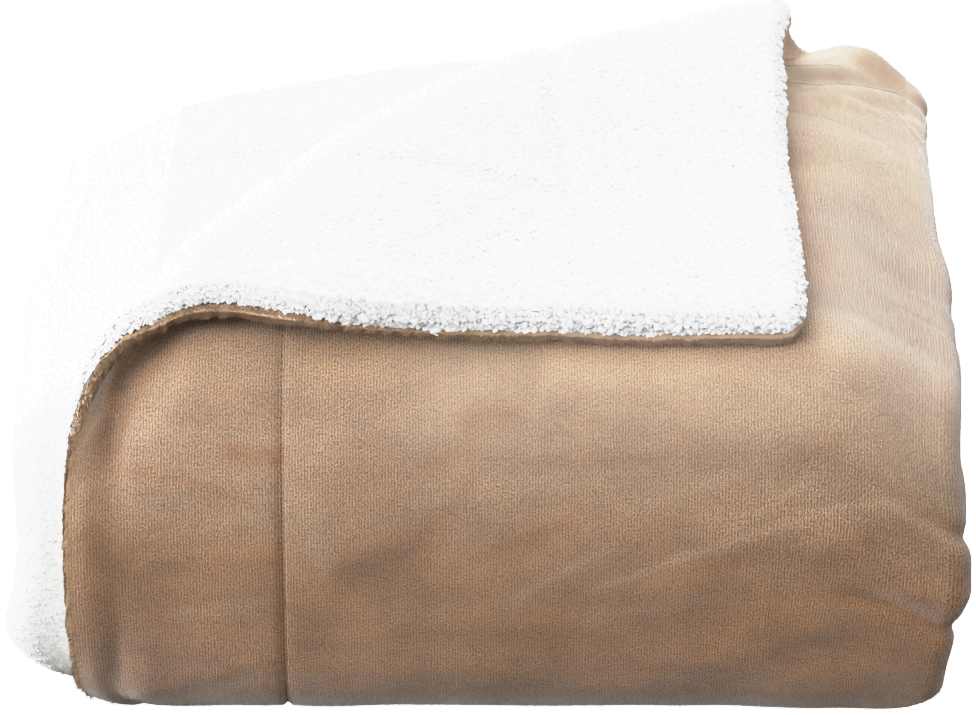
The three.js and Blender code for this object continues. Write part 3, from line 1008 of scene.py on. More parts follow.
def unit(vectors):
    return vectors / np.maximum(np.linalg.norm(vectors, axis=-1, keepdims=True), TINY)


def surface_frame(u, v, offset, side):
    """Places on a cloth, with the directions out on that side, along u and along v."""
    here = placed(u, v, offset)
    moved = (u, v, offset + side * STEP), (u + STEP, v, offset), (u, v + STEP, offset)
    return here, *(unit(placed(*place) - here) for place in moved)


def scatter(low, high, spacing, seed):
    """Places strewn evenly over a rectangle of u and v."""
    counts = [max(1, round((high[k] - low[k]) / spacing)) for k in (0, 1)]
    numbers = [n.ravel() for n in np.meshgrid(*map(np.arange, counts), indexing="ij")]
    places = []
    for k, n in enumerate(numbers):
        shares = (n + drawn(PLACE_SPREAD, chance(*numbers, seed + k))) / counts[k]
        places.append(low[k] + shares * (high[k] - low[k]))
    return places


def draws(count, kinds, seed):
    """That many kinds of random numbers from 0 to 1, for each of the tufts."""
    return [chance(np.arange(count), np.full(count, k), seed) for k in range(kinds)]


def tufts(paths, binormals, lean_out, radii):
    """Places, normals and faces of closed three-sided tufts that end in a point.

    There is a radius for each ring. The normals lean by lean_out, so that the tufts shade as one.
    """
    count, rings = radii.shape
    tangents = unit(np.gradient(paths, axis=1))[:, :rings]
    second = np.cross(tangents, binormals[:, None])
    angles = np.arange(3) * 2 * np.pi / 3
    ring = np.cos(angles)[:, None] * binormals[:, None, None]
    ring = ring + np.sin(angles)[:, None] * second[:, :, None]
    places = (paths[:, :rings, None] + radii[..., None, None] * ring).reshape(count, -1, 3)
    places = np.concatenate([places, paths[:, rings:]], 1)
    normals = unit(ring + lean_out[:, None, None]).reshape(count, -1, 3)
    normals = np.concatenate([normals, unit(lean_out)[:, None]], 1)
    first = np.arange(count)[:, None] * (3 * rings + 1)
    faces = (first + np.array([2, 1, 0])).tolist()
    last = 3 * (rings - 1)
    for k in range(3):
        n = (k + 1) % 3
        for r in range(rings - 1):
            quad = np.array([3 * r + k, 3 * r + n, 3 * r + 3 + n, 3 * r + 3 + k])
            faces.extend((first + quad).tolist())
        faces.extend((first + np.array([last + k, last + n, last + 3])).tolist())
    return places.reshape(-1, 3), normals.reshape(-1, 3), faces


# Curls of the sherpa

ROUND_SOFTNESS = 0.35
FLAT_SOFTNESS = 3.0
EDGE_SOFTNESS = 3.2
CURL_SPACING = 2.75 * MM
SIDE_CURL_SPACING = 3.0 * MM
SIDE_CURL_SIZE = 0.5

# Each kind of curl: how far up it each ring and the tip are, the rings' widths and its height
LOW_CURL = (np.array([0, 0.68, 1]), np.array([1.15, 0.9]), 0.75)
LOCK = (np.array([0, 0.4, 0.8, 1]), np.array([1.35, 1.5, 1.1]), 0.56)

# The least and the extra bend in half turns, length and thickness in millimetres
CURL_BEND = (0.55, 0.45)
CURL_LENGTH = (1.1, 0.6)
CURL_THICKNESS = (1.5, 0.5)
CURL_STRETCH = 1.1
CURL_TILT = 0.5
THICKER_WITH_SIZE = 0.7
CURL_SINK = 0.5 * MM


def make_curls(name, base, lean, size, shape, lean_out, seed, material):
    """Bent tapering curls; lean is how far they tip over, and size scales them."""
    steps, widths, height = shape
    here, out, across, along = base
    draw = draws(len(here), 5, seed)
    turn = 2 * np.pi * draw[0][:, None]
    sideways = unit(np.cos(turn) * across + np.sin(turn) * along + lean)
    start = unit(out + CURL_TILT * sideways * draw[1][:, None])
    angle = math.pi * drawn(CURL_BEND, draw[2])[:, None] * steps
    reach = (height * size * drawn(CURL_LENGTH, draw[3]) * MM)[:, None]
    rise, run = CURL_STRETCH * np.sin(angle) * reach, (1 - np.cos(angle)) * reach
    paths = here[:, None] + rise[..., None] * start[:, None] + run[..., None] * sideways[:, None]
    thickness = drawn(CURL_THICKNESS, draw[4]) * size ** THICKER_WITH_SIZE * MM
    radii = thickness[:, None] * widths
    places, normals, faces = tufts(paths, unit(np.cross(start, sideways)), lean_out, radii)
    return new_object(name, places, faces, material, normals)


def field_curls(name, u, v, seed, material):
    """Low curls all over a stretch of the sherpa, with the softest shading where it lies flat."""
    new_u, new_v, offset = sherpa_outside(u, v)
    base = surface_frame(new_u, new_v, offset + CURL_SINK, -1)
    flat = share(turned_past(u, v), 70, 40)
    flat = np.where(u > OUTER_END, u < SECOND_END - 60 * MM, flat)
    lean_out = mix(ROUND_SOFTNESS, FLAT_SOFTNESS, flat)[:, None] * base[1]
    size = mix(SIDE_CURL_SIZE, 1, flat)
    return make_curls(name, base, np.zeros(3), size, LOW_CURL, lean_out, seed, material)


EDGE_CURL_SPACING = 1.8 * MM
EDGE_CURL_STRAY = 0.8 * MM
EDGE_CURL_START = 320 * MM
EDGE_CURL_HANG = (0.3, 0.8)
EDGE_CURL_SIZE = (0.8, 1.0)
SIDE_EDGE_SIZE = (0.8, 0.3)
LOW_ROW_SIZE = 0.75
MIDDLE_ROW_SIZE = 1.2
LEAST_OVER = 0.05
EDGE_DROOP = 0.8
EDGE_SHADE_TILT = 0.6

# Rows of curls on the turned corner's edges: how far in each is, and how far through to the outside
EDGE_CURL_ROWS = [(0, 0.15), (0, 0.6), (0.3 * MM, 1), (1.6 * MM, 1), (3.6 * MM, 1)]


def edge_curls(material):
    """Longer curls that hang over the turned corner's two free edges."""
    n = np.arange(int((CREASE_RUN + 30 * MM) / EDGE_CURL_SPACING))
    u, v, depth = [], [], []
    for row, (inset, through) in enumerate(EDGE_CURL_ROWS):
        stray = inset + EDGE_CURL_STRAY * chance(n, n * 0 + row, 63) * through
        run = (n + chance(n, n * 0 + row, 61)) * EDGE_CURL_SPACING
        u.extend([stray, run])
        v.extend([run, stray])
        depth.extend([n * 0 + through] * 2)
    u, v, depth = np.concatenate(u), np.concatenate(v), np.concatenate(depth)
    new_u, new_v, offset = sherpa_outside(u, v)
    offset = mix(sherpa_inside(u, v)[2], offset, depth)
    here, out, across, along = surface_frame(new_u, new_v, offset, -1)
    on_side = u < v
    over = np.where(on_side[:, None], -across, -along)
    hang = drawn(EDGE_CURL_HANG, draws(len(u), 1, 64)[0])[:, None]
    size = drawn(EDGE_CURL_SIZE, draws(len(u), 1, 65)[0] ** 2)
    size *= np.where(on_side, drawn(SIDE_EDGE_SIZE, share(EDGE_CURL_START - v, 0, 70)), 1)
    middle = share(v, 80, 40) * share(EDGE_CURL_START - v, 0, 50) * on_side
    size *= mix(mix(LOW_ROW_SIZE, MIDDLE_ROW_SIZE, middle), 1, depth)
    upright = (rounded(u, v, SHERPA_EDGE_RADIUS) * (depth == 1))[:, None]
    base = here, unit(upright * out + (1 + LEAST_OVER - upright) * over), across, along
    lean = hang * over - EDGE_DROOP * (1 - upright) * out
    lean_out = EDGE_SOFTNESS * unit(out + EDGE_SHADE_TILT * over)
    return make_curls("sherpa_curls_edge", base, lean, size, LOCK, lean_out, 66, material)


CURLS_BELOW = 12 * MM
CURLS_BELOW_ARCH = 45 * MM
ARCH_INSIDE = 60 * MM


def flap_shows(u, v):
    below = np.where(u < ARCH_INSIDE, CURLS_BELOW_ARCH, CURLS_BELOW)
    return (turned_past(u, v) > -below) & (u < OUTER_END)


def left_side(u, v):
    return (u > LEFT_START) & (u < LEFT_END) & ~uncovered(u, v)


# Pile of the plush

PILE_SPACING = 1.16 * MM
PILE_LENGTH = 1.9 * MM
PILE_WIDTH = 0.5 * MM
PILE_SINK = 0.2 * MM
PILE_END_MARGIN = 15 * MM
PILE_SIDE_MARGIN = 25 * MM
PILE_UNDER_ROLL = 30 * MM
PILE_RISE = (0.3, 0.35)
PILE_LENGTHS = (0.7, 0.6)
PILE_SWING = 0.3
PATCH_SWING = 0.2
PATCH_SWING_SIZE = 17
SIDE_SWING = 2.6
SIDE_SWING_WIDTH = 34 * MM
TILT_ACROSS = 0.5
TILT_ALONG = 0.3
RUFFLE_LOST = 0.9

# How light a strand is: the root's share, the tip's least and extra share, and that in painted highlight
ROOT_LIGHT = 0.55
TIP_LIGHT = (0.25, 0.75)
HIGHLIGHT_LIGHT = 0.62
# how much a strand takes the painted highlight, and how near the edge it takes none
HIGHLIGHT_SMOOTHING = 0.92
UNSMOOTHED_EDGE = 6 * MM


def pile_shows(u, v):
    shows = beside_corner(u, v, PILE_END_MARGIN, PILE_SIDE_MARGIN) | (v >= FRONT_START)
    return shows & (turned_past(u, v) < PILE_UNDER_ROLL)


def make_strands(name, strands, width, material):
    """Narrow triangles that run along lie, with their flat side to flat, lit as if to facing."""
    u, v, roots, lie, flat, lengths, facing, bright = strands
    side = unit(np.cross(lie, flat)) * width / 2
    tip = roots + lie * lengths[:, None]
    places = np.stack([roots - side, roots + side, tip], 1).reshape(-1, 3)
    faces = np.arange(len(places)).reshape(-1, 3).tolist()
    piece = new_object(name, places, faces, material, np.repeat(facing, 3, 0))
    add_uv(piece.data, "cloth", np.repeat(np.stack([u, texture_run(u, v)], 1), 3, 0))
    # painted highlight: strands over the top's back turn lighter and even
    smooth_highlight = HIGHLIGHT_SMOOTHING * smooth_highlight_share(v) * (edge_distance(u, v) > UNSMOOTHED_EDGE)
    root = bright * ROOT_LIGHT
    shade = np.stack([root, root, drawn(TIP_LIGHT, bright)], 1)
    add_value(piece.data, "shade", mix(shade, HIGHLIGHT_LIGHT, smooth_highlight[:, None]).ravel())
    # painted sheen over the top's back and the shoulder
    add_value(piece.data, "painted_sheen", np.repeat(painted_sheen_share(u, v), 3))
    # nap marks with their painted shade
    add_value(piece.data, "nap_and_shade", np.repeat(nap_and_shade(u, v), 3))
    return piece


def field_pile(spacing, material):
    """Short strands that lie down along the cloth."""
    u, v = scatter((2 * MM, 0), (OUTER_END + 20 * MM, FRONT_END), spacing, 51)
    keep = pile_shows(u, v)
    u, v = u[keep], v[keep]
    roots, out, across, along = surface_frame(u, v, plush_outside(u, v)[2] - PILE_SINK, 1)
    draw = draws(len(u), 5, 53)
    swing = PILE_SWING * (draw[0] - 0.5) + PATCH_SWING * noise(u, v, PATCH_SWING_SIZE, 53)
    swing = swing - SIDE_SWING * ramp(1 - u / SIDE_SWING_WIDTH) * (v > FRONT_START)
    lie = unit(along + swing[:, None] * across)
    lie = unit(lie + drawn(PILE_RISE, draw[1])[:, None] * out)
    lengths = PILE_LENGTH * drawn(PILE_LENGTHS, draw[2])
    tilt = TILT_ACROSS * (draw[3] - 0.5)[:, None] * across
    tilt = tilt + TILT_ALONG * (draw[4] - 0.5)[:, None] * along
    facing = unit(out + (1 - RUFFLE_LOST * smooth_highlight_share(v))[:, None] * tilt)
    bright = draws(len(u), 6, 54)[5]
    strands = u, v, roots, lie, out, lengths, facing, bright
    return make_strands("plush_pile", strands, PILE_WIDTH, material)


RIM_PILE_LENGTH = 3.6 * MM
RIM_PILE_WIDTH = 0.75 * MM
RIM_PILE_SPACING = 0.034 * MM
RIM_PILE_SINK = 0.3 * MM
RIM_BATCH = 60000
RIM_RADIUS = 4 * MM
RIM_TURN = 4 * MM
SHORTER_AT_END = 0.6

# The sizes of its clumps, in millimetres, and what a clump adds to a strand's length and light
RIM_CLUMP = 3.2
RIM_LOCK = 6.4
CLUMP_LENGTH = 0.45
CLUMP_LIGHT = 0.55
RIM_LENGTHS = (0.55, 0.6)
RIM_LIGHTS = (0.25, 0.5)
RIM_SWEEP = (-0.05, 0.7)
LOCK_SWEEP = 0.8
RIM_LIFT = 0.4
RIM_FALL = 1.2
RIM_TWIST = 1.2

# The shares of the strands on the shelf and on the edge, and how those on the shelf lie
SHELF_SHARE = 0.35
EDGE_SHARE = 0.3
SHELF_PILE = 0.7
SHELF_RISE = -1.0
SHELF_LEVEL = 0.8
SHELF_DOWN = 0.2


def rim_pile(material):
    """Strands round the plush's rim, from its shelf beside the sherpa over the edge to its face."""
    side_count = int(FRONT_END / RIM_PILE_SPACING)
    number = np.arange(side_count + int(OUTER_END / RIM_PILE_SPACING / 2))
    on_side = number < side_count
    draw = [chance(number, number // RIM_BATCH + k, 71) for k in range(6)]
    run = draw[0] * np.where(on_side, FRONT_END, OUTER_END)
    turn, edge_end = draw[1], SHELF_SHARE + EDGE_SHARE
    shelf, edge = turn < SHELF_SHARE, (turn >= SHELF_SHARE) & (turn < edge_end)
    angle = np.clip((turn - edge_end) / (1 - edge_end), 0, 1) * np.pi / 2
    on_shelf = (1 - turn / SHELF_SHARE) * SHERPA_SET_BACK
    inset = np.where(shelf, on_shelf, RIM_RADIUS * (1 - np.cos(angle)))
    u, v = np.where(on_side, inset, run), np.where(on_side, run, inset)
    low = plush_inside(u, v)[2]
    middle = (low + PLUSH_SIDE) / 2
    over_edge = mix(low, middle, np.clip((turn - SHELF_SHARE) / EDGE_SHARE, 0, 1))
    offset = np.where(edge, over_edge, middle + (PLUSH_SIDE - middle) * np.sin(angle))
    roots, out, across, along = surface_frame(u, v, np.where(shelf, low, offset), 1)
    away = np.where(on_side[:, None], -across, -along)
    beside = np.where(on_side[:, None], along, across)
    rise = np.where(shelf, SHELF_RISE, np.sin(angle))[:, None]
    level = np.where(shelf, SHELF_LEVEL, np.cos(angle))[:, None]
    down = np.where(shelf, SHELF_DOWN, np.cos(angle))[:, None]
    facing = unit(rise * out + level * away)
    clump = noise(run, turn * RIM_TURN, RIM_CLUMP, 74)
    sideways = drawn(RIM_SWEEP, draw[2]) + LOCK_SWEEP * noise(run, turn * RIM_TURN, RIM_LOCK, 75)
    lie = RIM_LIFT * facing + down * out + (RIM_FALL - down) * away
    lie = unit(lie + sideways[:, None] * beside)
    flat = unit(facing + RIM_TWIST * (draw[3] - 0.5)[:, None] * beside)
    lengths = RIM_PILE_LENGTH * (drawn(RIM_LENGTHS, draw[4]) + CLUMP_LENGTH * clump)
    lengths = lengths * np.where(shelf, SHELF_PILE, 1) * (1 - SHORTER_AT_END * share(u, 400, 40))
    bright = np.clip(drawn(RIM_LIGHTS, draw[5]) + CLUMP_LIGHT * clump, 0, 1)
    strands = u, v, roots - RIM_PILE_SINK * facing, lie, flat, lengths, facing, bright
    return make_strands("plush_rim_pile", strands, RIM_PILE_WIDTH, material)


# Stitches of the border seam

STITCH_PITCH = 3 * MM
STITCH_LENGTH = 2.3 * MM
STITCH_BOW = 0.5 * MM
THREAD_RADIUS = 0.3 * MM
STITCH_RINGS = 3


def make_stitches(material):
    """The border seam's stitches on the plush, along the side."""
    v = (np.arange(int(FRONT_END / STITCH_PITCH)) + 0.5) * STITCH_PITCH
    v = v[turned_past(np.full(len(v), BORDER), v) < 0]
    u = np.full(len(v), BORDER)
    here, out, across, line = surface_frame(u, v, plush_outside(u, v)[2] + STITCH_BOW, 1)
    t = np.linspace(-0.5, 0.5, STITCH_RINGS + 1)[:, None]
    paths = here[:, None] + t * STITCH_LENGTH * line[:, None]
    paths = paths - STITCH_BOW * (2 * t) ** 2 * out[:, None]
    radii = np.full((len(u), STITCH_RINGS), THREAD_RADIUS)
    places, normals, faces = tufts(paths, unit(np.cross(out, line)), ROUND_SOFTNESS * out, radii)
    return new_object("border_stitches", places, faces, material)


# Materials

class Shader:
    """The nodes of one material, or of the world."""

    def __init__(self, data):
        data.use_nodes = True
        self.data, self.tree = data, data.node_tree
        nodes = self.tree.nodes
        self.surface = nodes.get("Principled BSDF") or nodes["Background"]

    def feed(self, socket, value):
        if isinstance(value, Signal):
            self.tree.links.new(value.socket, socket)
        else:
            socket.default_value = value

    def node(self, kind, settings, inputs, output=0):
        """The output of a new node with those settings and inputs."""
        node = self.tree.nodes.new(kind)
        for name, value in settings.items():
            setattr(node, name, value)
        for name, value in inputs.items():
            self.feed(node.inputs[name], value)
        return Signal(self, node.outputs[output])

    def maths(self, operation, *values):
        return self.node("ShaderNodeMath", {"operation": operation}, dict(enumerate(values)))

    def place(self):
        """The cloth's u and run at the shaded place, in metres."""
        both = self.node("ShaderNodeUVMap", {"uv_map": "cloth"}, {})
        parts = self.node("ShaderNodeSeparateXYZ", {}, {0: both})
        return parts, Signal(self, parts.socket.node.outputs[1])

    def attribute(self, name):
        return self.node("ShaderNodeAttribute", {"attribute_name": name}, {}, 2)

    def noise(self, u, run, lumps, seed, detail=2.0):
        """Noise of about 0 to 1 whose lumps are that many millimetres of u and of run."""
        across, along = u / (lumps[0] * MM), run / (lumps[1] * MM)
        place = self.node("ShaderNodeCombineXYZ", {}, {0: across, 1: along, 2: float(seed)})
        inputs = {"Vector": place, "Scale": 1.0, "Detail": detail}
        return self.node("ShaderNodeTexNoise", {"noise_dimensions": "3D"}, inputs)

    def spread(self, value, low, high):
        """0 below low and 1 above high, with a soft step between."""
        inputs = {"Value": value, "From Min": low, "From Max": high}
        return self.node("ShaderNodeMapRange", {"interpolation_type": "SMOOTHSTEP"}, inputs)

    def mixed(self, factor, first, second):
        """A colour between two others."""
        inputs = {0: factor, 6: first, 7: second}
        return self.node("ShaderNodeMix", {"data_type": "RGBA"}, inputs, 2)

    def scaled(self, colour, factor):
        """A colour times a number."""
        inputs = {0: colour, "Scale": factor}
        return self.node("ShaderNodeVectorMath", {"operation": "SCALE"}, inputs)

    def bump(self, height, depth):
        """A normal for a height of 0 to 1 over that depth."""
        inputs = {"Height": height, "Distance": depth, "Strength": 1.0}
        return self.node("ShaderNodeBump", {}, inputs)

    def finish(self, **inputs):
        """Feeds the surface, whose input names have _ for a space here."""
        for name, value in inputs.items():
            self.feed(self.surface.inputs[name.replace("_", " ")], value)
        return self.data


class Signal:
    """A node's output that can be used in sums."""

    def __init__(self, shader, socket):
        self.shader, self.socket = shader, socket

    def __add__(self, other):
        return self.shader.maths("ADD", self, other)

    def __sub__(self, other):
        return self.shader.maths("SUBTRACT", self, other)

    def __rsub__(self, other):
        return self.shader.maths("SUBTRACT", other, self)

    def __mul__(self, other):
        return self.shader.maths("MULTIPLY", self, other)

    def __truediv__(self, other):
        return self.shader.maths("DIVIDE", self, other)

    __radd__ = __add__
    __rmul__ = __mul__


# Shares of the red, green and blue of the cloth's own colour
PLUSH_DEEP = (0.3, 0.23, 0.16)
PLUSH_TIP = (1.52, 1.47, 1.42)
WARM_TIP = (1.62, 1.24, 0.8)
# the pale tones that the painted sheen mixes towards, deep and at the tips
SHEEN_PAINT_DEEP = (0.9, 1.0, 1.2)
SHEEN_PAINT_TIP = (1.42, 1.62, 2.0)
GOLDEN = (0.9, 0.78, 0.5)
RIM_DEEP = (0.3, 0.28, 0.25)
RIM_TIP = (1.5, 1.58, 1.7)
# the pale tone of the painted sheen on the rim's strands
RIM_SHEEN_PAINT = (1.3, 1.5, 1.9)
THREAD = (0.3, 0.26, 0.22)
CREAM = (0.985, 0.97, 0.93)


def tinted(colour, shares):
    return (*(part * share_of for part, share_of in zip(colour, shares)), 1)


# How much lighter or darker the nap marks and painted shade, broad patches and small ones make the plush
NAP_AND_SHADE_LIGHT = 0.26
BROAD_LIGHT = 0.7
SMALL_LIGHT = 0.3
BROAD_LUMPS = (55, 30)
SMALL_LUMPS = (12, 8)
WARMEST_NAP_AND_SHADE = 0.8
EDGE_GOLD = 0.35
GOLD_EDGE = (4 * MM, 22 * MM)


def plush_colour(shader, settings, light):
    """The plush's colour where light is 0 deep in the pile and 1 at the tips."""
    u, run = shader.place()
    own = settings.plush_colour
    broad = shader.noise(u, run, BROAD_LUMPS, 3, 3.0) - 0.5
    small = shader.noise(u, run, SMALL_LUMPS, 5) - 0.5
    nap_and_shade_here, painted_sheen = shader.attribute("nap_and_shade"), shader.attribute("painted_sheen")
    brushed = 1.0 + nap_and_shade_here * NAP_AND_SHADE_LIGHT + broad * BROAD_LIGHT + small * SMALL_LIGHT
    # where the nap marks and the painted shade darken the pile, its tips turn warmer
    warmth = shader.spread(0.0 - nap_and_shade_here, 0.0, WARMEST_NAP_AND_SHADE)
    tip = shader.mixed(warmth, tinted(own, PLUSH_TIP), tinted(own, WARM_TIP))
    # painted sheen: paler tones over the top's back and along the shoulder
    tip = shader.mixed(painted_sheen, tip, tinted(own, SHEEN_PAINT_TIP))
    deep = shader.mixed(painted_sheen, tinted(own, PLUSH_DEEP), tinted(own, SHEEN_PAINT_DEEP))
    colour = shader.scaled(shader.mixed(light, deep, tip), brushed)
    golden = shader.scaled(tinted(own, GOLDEN)[:3], 0.35 + light * 0.9)
    near_edge = 1.0 - shader.spread(u, *GOLD_EDGE)
    return shader.mixed(near_edge * EDGE_GOLD, colour, golden)


def plush_finish(settings):
    return {
        "Roughness": 0.55,
        "Specular_IOR_Level": 1.0,
        "Sheen_Weight": settings.plush_sheen,
        "Sheen_Roughness": 0.3,
    }


SHERPA_FINISH = {
    "Roughness": 0.95,
    "Specular_IOR_Level": 0.1,
    "Subsurface_Weight": 1.0,
    "Subsurface_Radius": (1, 1, 1),
    "Subsurface_Scale": 1.2 * MM,
}

# The plush's knitted wales and the dashes that its pile breaks into
WALE = 1.8 * MM
WALE_STRAY = 0.9
STRAY_LUMPS = (20, 12)
DASH_LUMPS = (0.81, 1.2)
WALE_LIGHT = 0.22
DASH_LIGHT = 3.0
MIDDLE_LIGHT = 0.51
SMOOTHED = 0.93
PILE_DEPTH = 0.5 * MM


def plush_cloth_finish(shader, settings):
    u, run = shader.place()
    stray = shader.noise(u, run, STRAY_LUMPS, 1) - 0.5
    ridges = shader.maths("COSINE", (u / WALE + stray * WALE_STRAY) * (2 * math.pi))
    dashes = shader.noise(u, run, DASH_LUMPS, 2) - 0.5
    # painted highlight: the pattern fades over the top's back, where its highlight would wash it out
    strength = 1.0 - shader.attribute("smooth_highlight") * SMOOTHED
    texture = (ridges * WALE_LIGHT + dashes * DASH_LIGHT) * strength
    light = shader.spread(MIDDLE_LIGHT + texture, 0.0, 1.0)
    colour = plush_colour(shader, settings, light)
    normal = shader.bump(light, PILE_DEPTH)
    return shader.finish(Base_Color=colour, Normal=normal, **plush_finish(settings))


def plush_strand_finish(shader, settings):
    colour = plush_colour(shader, settings, shader.attribute("shade"))
    return shader.finish(Base_Color=colour, **plush_finish(settings))


def plush_rim_finish(shader, settings):
    """Golden strands of the plush's rim, which the sheen doesn't whiten; they take the painted sheen."""
    deep, tip, painted_sheen = (tinted(settings.plush_colour, row) for row in (RIM_DEEP, RIM_TIP, RIM_SHEEN_PAINT))
    colour = shader.mixed(shader.attribute("shade"), deep, tip)
    return shader.finish(
        Base_Color=shader.mixed(shader.attribute("painted_sheen"), colour, painted_sheen),
        Roughness=0.7,
        Specular_IOR_Level=0.25,
        Sheen_Weight=0.15,
        Sheen_Roughness=0.4,
    )


LUMP_SIZE = (3, 3)
LUMP_DEPTH = 0.8 * MM
PATCH_SIZE = (70, 50)
PATCHES = (0.45, 0.75)


def sherpa_cloth_finish(shader, settings):
    u, run = shader.place()
    lumps = shader.noise(u, run, LUMP_SIZE, 7, 3.0)
    patches = shader.spread(shader.noise(u, run, PATCH_SIZE, 8), *PATCHES)
    own = settings.sherpa_colour
    colour = shader.mixed(patches, (*own, 1), tinted(own, CREAM))
    return shader.finish(Base_Color=colour, Normal=shader.bump(lumps, LUMP_DEPTH), **SHERPA_FINISH)


def sherpa_curl_finish(shader, settings):
    return shader.finish(Base_Color=(*settings.sherpa_colour, 1), **SHERPA_FINISH)


def thread_finish(shader, settings):
    colour = tinted(settings.plush_colour, THREAD)
    return shader.finish(Base_Color=colour, Roughness=0.8, Specular_IOR_Level=0.2)


def material_of(maker, settings):
    """The material that a finish makes, once, under the finish's own name."""
    name = maker.__name__
    return bpy.data.materials.get(name) or maker(Shader(bpy.data.materials.new(name)), settings)


# What a user can change

class DuvetSettings(bpy.types.PropertyGroup):
    plush_colour: FloatVectorProperty(
        name="Plush", description="Colour of the plush face",
        subtype="COLOR", size=3, min=0, max=1, default=(0.324, 0.2, 0.11),
    )
    plush_sheen: FloatProperty(
        name="Plush sheen", description="How bright the plush looks at a low angle",
        subtype="FACTOR", min=0, max=1, default=0.85,
    )
    sherpa_colour: FloatVectorProperty(
        name="Sherpa", description="Colour of the curly back",
        subtype="COLOR", size=3, min=0, max=1, default=(0.95, 0.945, 0.93),
    )
    floor_size: FloatProperty(
        name="Floor", description="Width and depth of the floor",
        subtype="DISTANCE", unit="LENGTH", min=2, default=60,
    )


class DUVET_OT_curls(bpy.types.Operator):
    """Makes the curls of the sherpa where it shows"""

    bl_idname = "duvet.curls"
    bl_label = "Curls"

    def execute(self, context):
        finish = material_of(sherpa_curl_finish, context.scene.duvet)
        coarser = 1
        low, reach = 0.5 * MM, CREASE_RUN + 40 * MM
        stretches = [
            ("sherpa_curls_flap", (low, low), (reach, reach), flap_shows, CURL_SPACING, 41),
            ("sherpa_curls_top", (SECOND_START, 0), (SECOND_END, FRONT_END), uncovered,
             CURL_SPACING, 44),
            ("sherpa_curls_side", (LEFT_START, 0), (LEFT_END, ALONG.length), left_side,
             SIDE_CURL_SPACING, 47),
        ]
        pieces = []
        for name, low, high, shows, spacing, seed in stretches:
            u, v = scatter(low, high, spacing * coarser, seed)
            keep = shows(u, v)
            pieces.append(field_curls(name, u[keep], v[keep], seed + 2, finish))
        for piece in (*pieces, edge_curls(finish)):
            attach(piece, "root")
        return {"FINISHED"}


class DUVET_OT_pile(bpy.types.Operator):
    """Makes the strands of the plush where it shows"""

    bl_idname = "duvet.pile"
    bl_label = "Pile"

    def execute(self, context):
        settings = context.scene.duvet
        spacing = PILE_SPACING * 1
        short = field_pile(spacing, material_of(plush_strand_finish, settings))
        for piece in (short, rim_pile(material_of(plush_rim_finish, settings))):
            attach(piece, "root")
        return {"FINISHED"}


class DUVET_OT_stitches(bpy.types.Operator):
    """Makes the border seam's stitches"""

    bl_idname = "duvet.stitches"
    bl_label = "Stitches"

    def execute(self, context):
        stitches = make_stitches(material_of(thread_finish, context.scene.duvet))
        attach(stitches, "root")
        return {"FINISHED"}


class DUVET_OT_cloths(bpy.types.Operator):
    """Makes the plush face and the sherpa back"""

    bl_idname = "duvet.cloths"
    bl_label = "Cloths"

    def execute(self, context):
        settings = context.scene.duvet
        plush = plush_shows, PLUSH_FACTOR, plush_outside, plush_inside
        sherpa = sherpa_shows, SHERPA_FACTOR, sherpa_outside, sherpa_inside
        face = make_cloth("plush_face_cloth", *plush, material_of(plush_cloth_finish, settings))
        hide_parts("plush_face")
        back = make_cloth("sherpa_back_cloth", *sherpa, material_of(sherpa_cloth_finish, settings))
        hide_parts("sherpa_back")
        for piece in (face, back):
            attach(piece, "root")
        return {"FINISHED"}


# Stage

CAMERA_TARGET_Z = 0.2795
CAMERA_ELEVATION = 26.5
CAMERA_DISTANCE = 2.784
CAMERA_LENS = 174.4
WHITE = (1, 1, 1, 1)
FLOOR_GLOW = 4.0
SKY_UP = 1.42
SKY_DOWN = 0.04
HORIZON = 0.25

# Square lights that look at the pack: the place, width and power of each
LIGHTS = {
    "back_panel": ((-0.6, 1.4, 2.2), 1.6, 164),
    "front_panel": ((-1.8, -1.4, 1.6), 1.6, 67),
    "left_panel": ((-1.9, -0.4, 0.12), 0.6, 66),
}


def make_floor(scene):
    half = scene.duvet.floor_size / 2
    places = np.array([(-half, -half, 0), (half, -half, 0), (half, half, 0), (-half, half, 0)])
    finish = Shader(bpy.data.materials.new("floor")).finish(
        Base_Color=WHITE,
        Roughness=1.0,
        Emission_Color=WHITE,
        Emission_Strength=FLOOR_GLOW,
    )
    floor = new_object("floor", places, [(0, 1, 2, 3)], finish)
    floor.visible_diffuse = False
    floor.visible_glossy = False


def add_lights(scene):
    for name, (place, width, power) in LIGHTS.items():
        light = bpy.data.lights.new(name, "AREA")
        light.shape = "SQUARE"
        light.size = width
        light.energy = power
        lamp = bpy.data.objects.new(name, light)
        lamp.location = place
        aim = Vector((0, 0, HEIGHT / 2)) - lamp.location
        lamp.rotation_euler = aim.to_track_quat("-Z", "Y").to_euler()
        scene.collection.objects.link(lamp)


def add_camera(scene):
    target = Vector((0, CAD_LOW[1], CAMERA_TARGET_Z))
    angle = math.radians(CAMERA_ELEVATION)
    away = Vector((0, -math.cos(angle), math.sin(angle)))
    lens = bpy.data.cameras.new("camera")
    lens.lens = CAMERA_LENS
    lens.clip_end = 200
    camera = bpy.data.objects.new("camera", lens)
    camera.location = target + away * CAMERA_DISTANCE
    camera.rotation_euler = (-away).to_track_quat("-Z", "Y").to_euler()
    scene.collection.objects.link(camera)
    scene.camera = camera


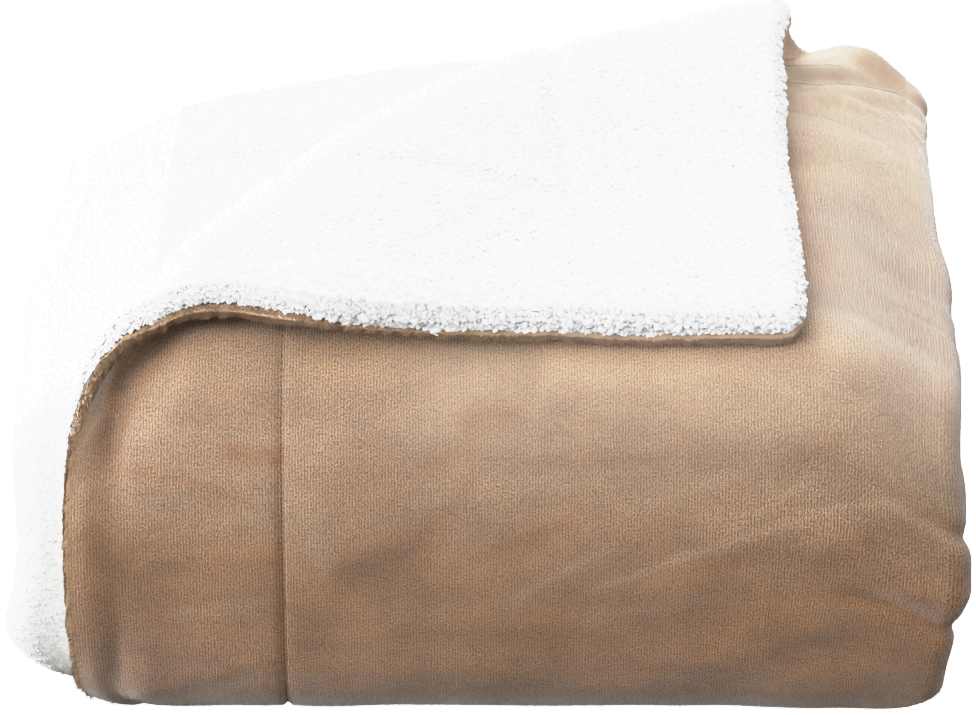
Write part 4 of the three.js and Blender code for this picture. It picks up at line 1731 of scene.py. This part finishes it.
def make_world(scene):
    """A bright sky above the horizon and a dim one below it."""
    shader = Shader(bpy.data.worlds.new("world"))
    direction = shader.node("ShaderNodeTexCoord", {}, {})
    up = shader.node("ShaderNodeSeparateXYZ", {}, {0: direction}, 2)
    light = shader.spread(up, -HORIZON, HORIZON) * (SKY_UP - SKY_DOWN) + SKY_DOWN
    scene.world = shader.finish(Color=WHITE, Strength=light)


SHOULDER = [(0, 0), (0.65, 0.65), (1.0, 0.84), (1.6, 0.92), (2.4, 0.945), (3.4, 0.96), (4, 1)]


def set_view(view):
    """Plain colours, with a soft shoulder that keeps the whites from clipping."""
    view.view_transform = "Standard"
    view.use_curve_mapping = True
    mapping = view.curve_mapping
    mapping.clip_max_x = SHOULDER[-1][0]
    points = mapping.curves[3].points
    points[0].location, points[-1].location = SHOULDER[0], SHOULDER[-1]
    for place in SHOULDER[1:-1]:
        points.new(*place)
    for knot in points:
        knot.handle_type = "VECTOR"
    mapping.update()


class DUVET_OT_stage(bpy.types.Operator):
    """Makes the floor, the lights and the camera"""

    bl_idname = "duvet.stage"
    bl_label = "Stage"

    def execute(self, context):
        scene = context.scene
        make_floor(scene)
        make_world(scene)
        add_lights(scene)
        set_view(scene.view_settings)
        add_camera(scene)
        return {"FINISHED"}


class DUVET_PT_panel(bpy.types.Panel):
    bl_idname = "DUVET_PT_panel"
    bl_label = "Folded duvet"
    bl_space_type = "VIEW_3D"
    bl_region_type = "UI"
    bl_category = "Duvet"

    def draw(self, context):
        settings = context.scene.duvet
        for name in DuvetSettings.__annotations__:
            self.layout.prop(settings, name)
        for operator in OPERATORS:
            self.layout.operator(operator.bl_idname)


OPERATORS = (
    DUVET_OT_curls,
    DUVET_OT_pile,
    DUVET_OT_stitches,
    DUVET_OT_cloths,
    DUVET_OT_stage,
)
CLASSES = (DuvetSettings, *OPERATORS, DUVET_PT_panel)


def register():
    for item in CLASSES:
        bpy.utils.register_class(item)
    bpy.types.Scene.duvet = PointerProperty(type=DuvetSettings)


def unregister():
    del bpy.types.Scene.duvet
    for item in reversed(CLASSES):
        bpy.utils.unregister_class(item)


def main():
    register()
    bpy.ops.duvet.curls()
    bpy.ops.duvet.pile()
    bpy.ops.duvet.stitches()
    bpy.ops.duvet.cloths()
    bpy.ops.duvet.stage()


if __name__ == "__main__":
    main()
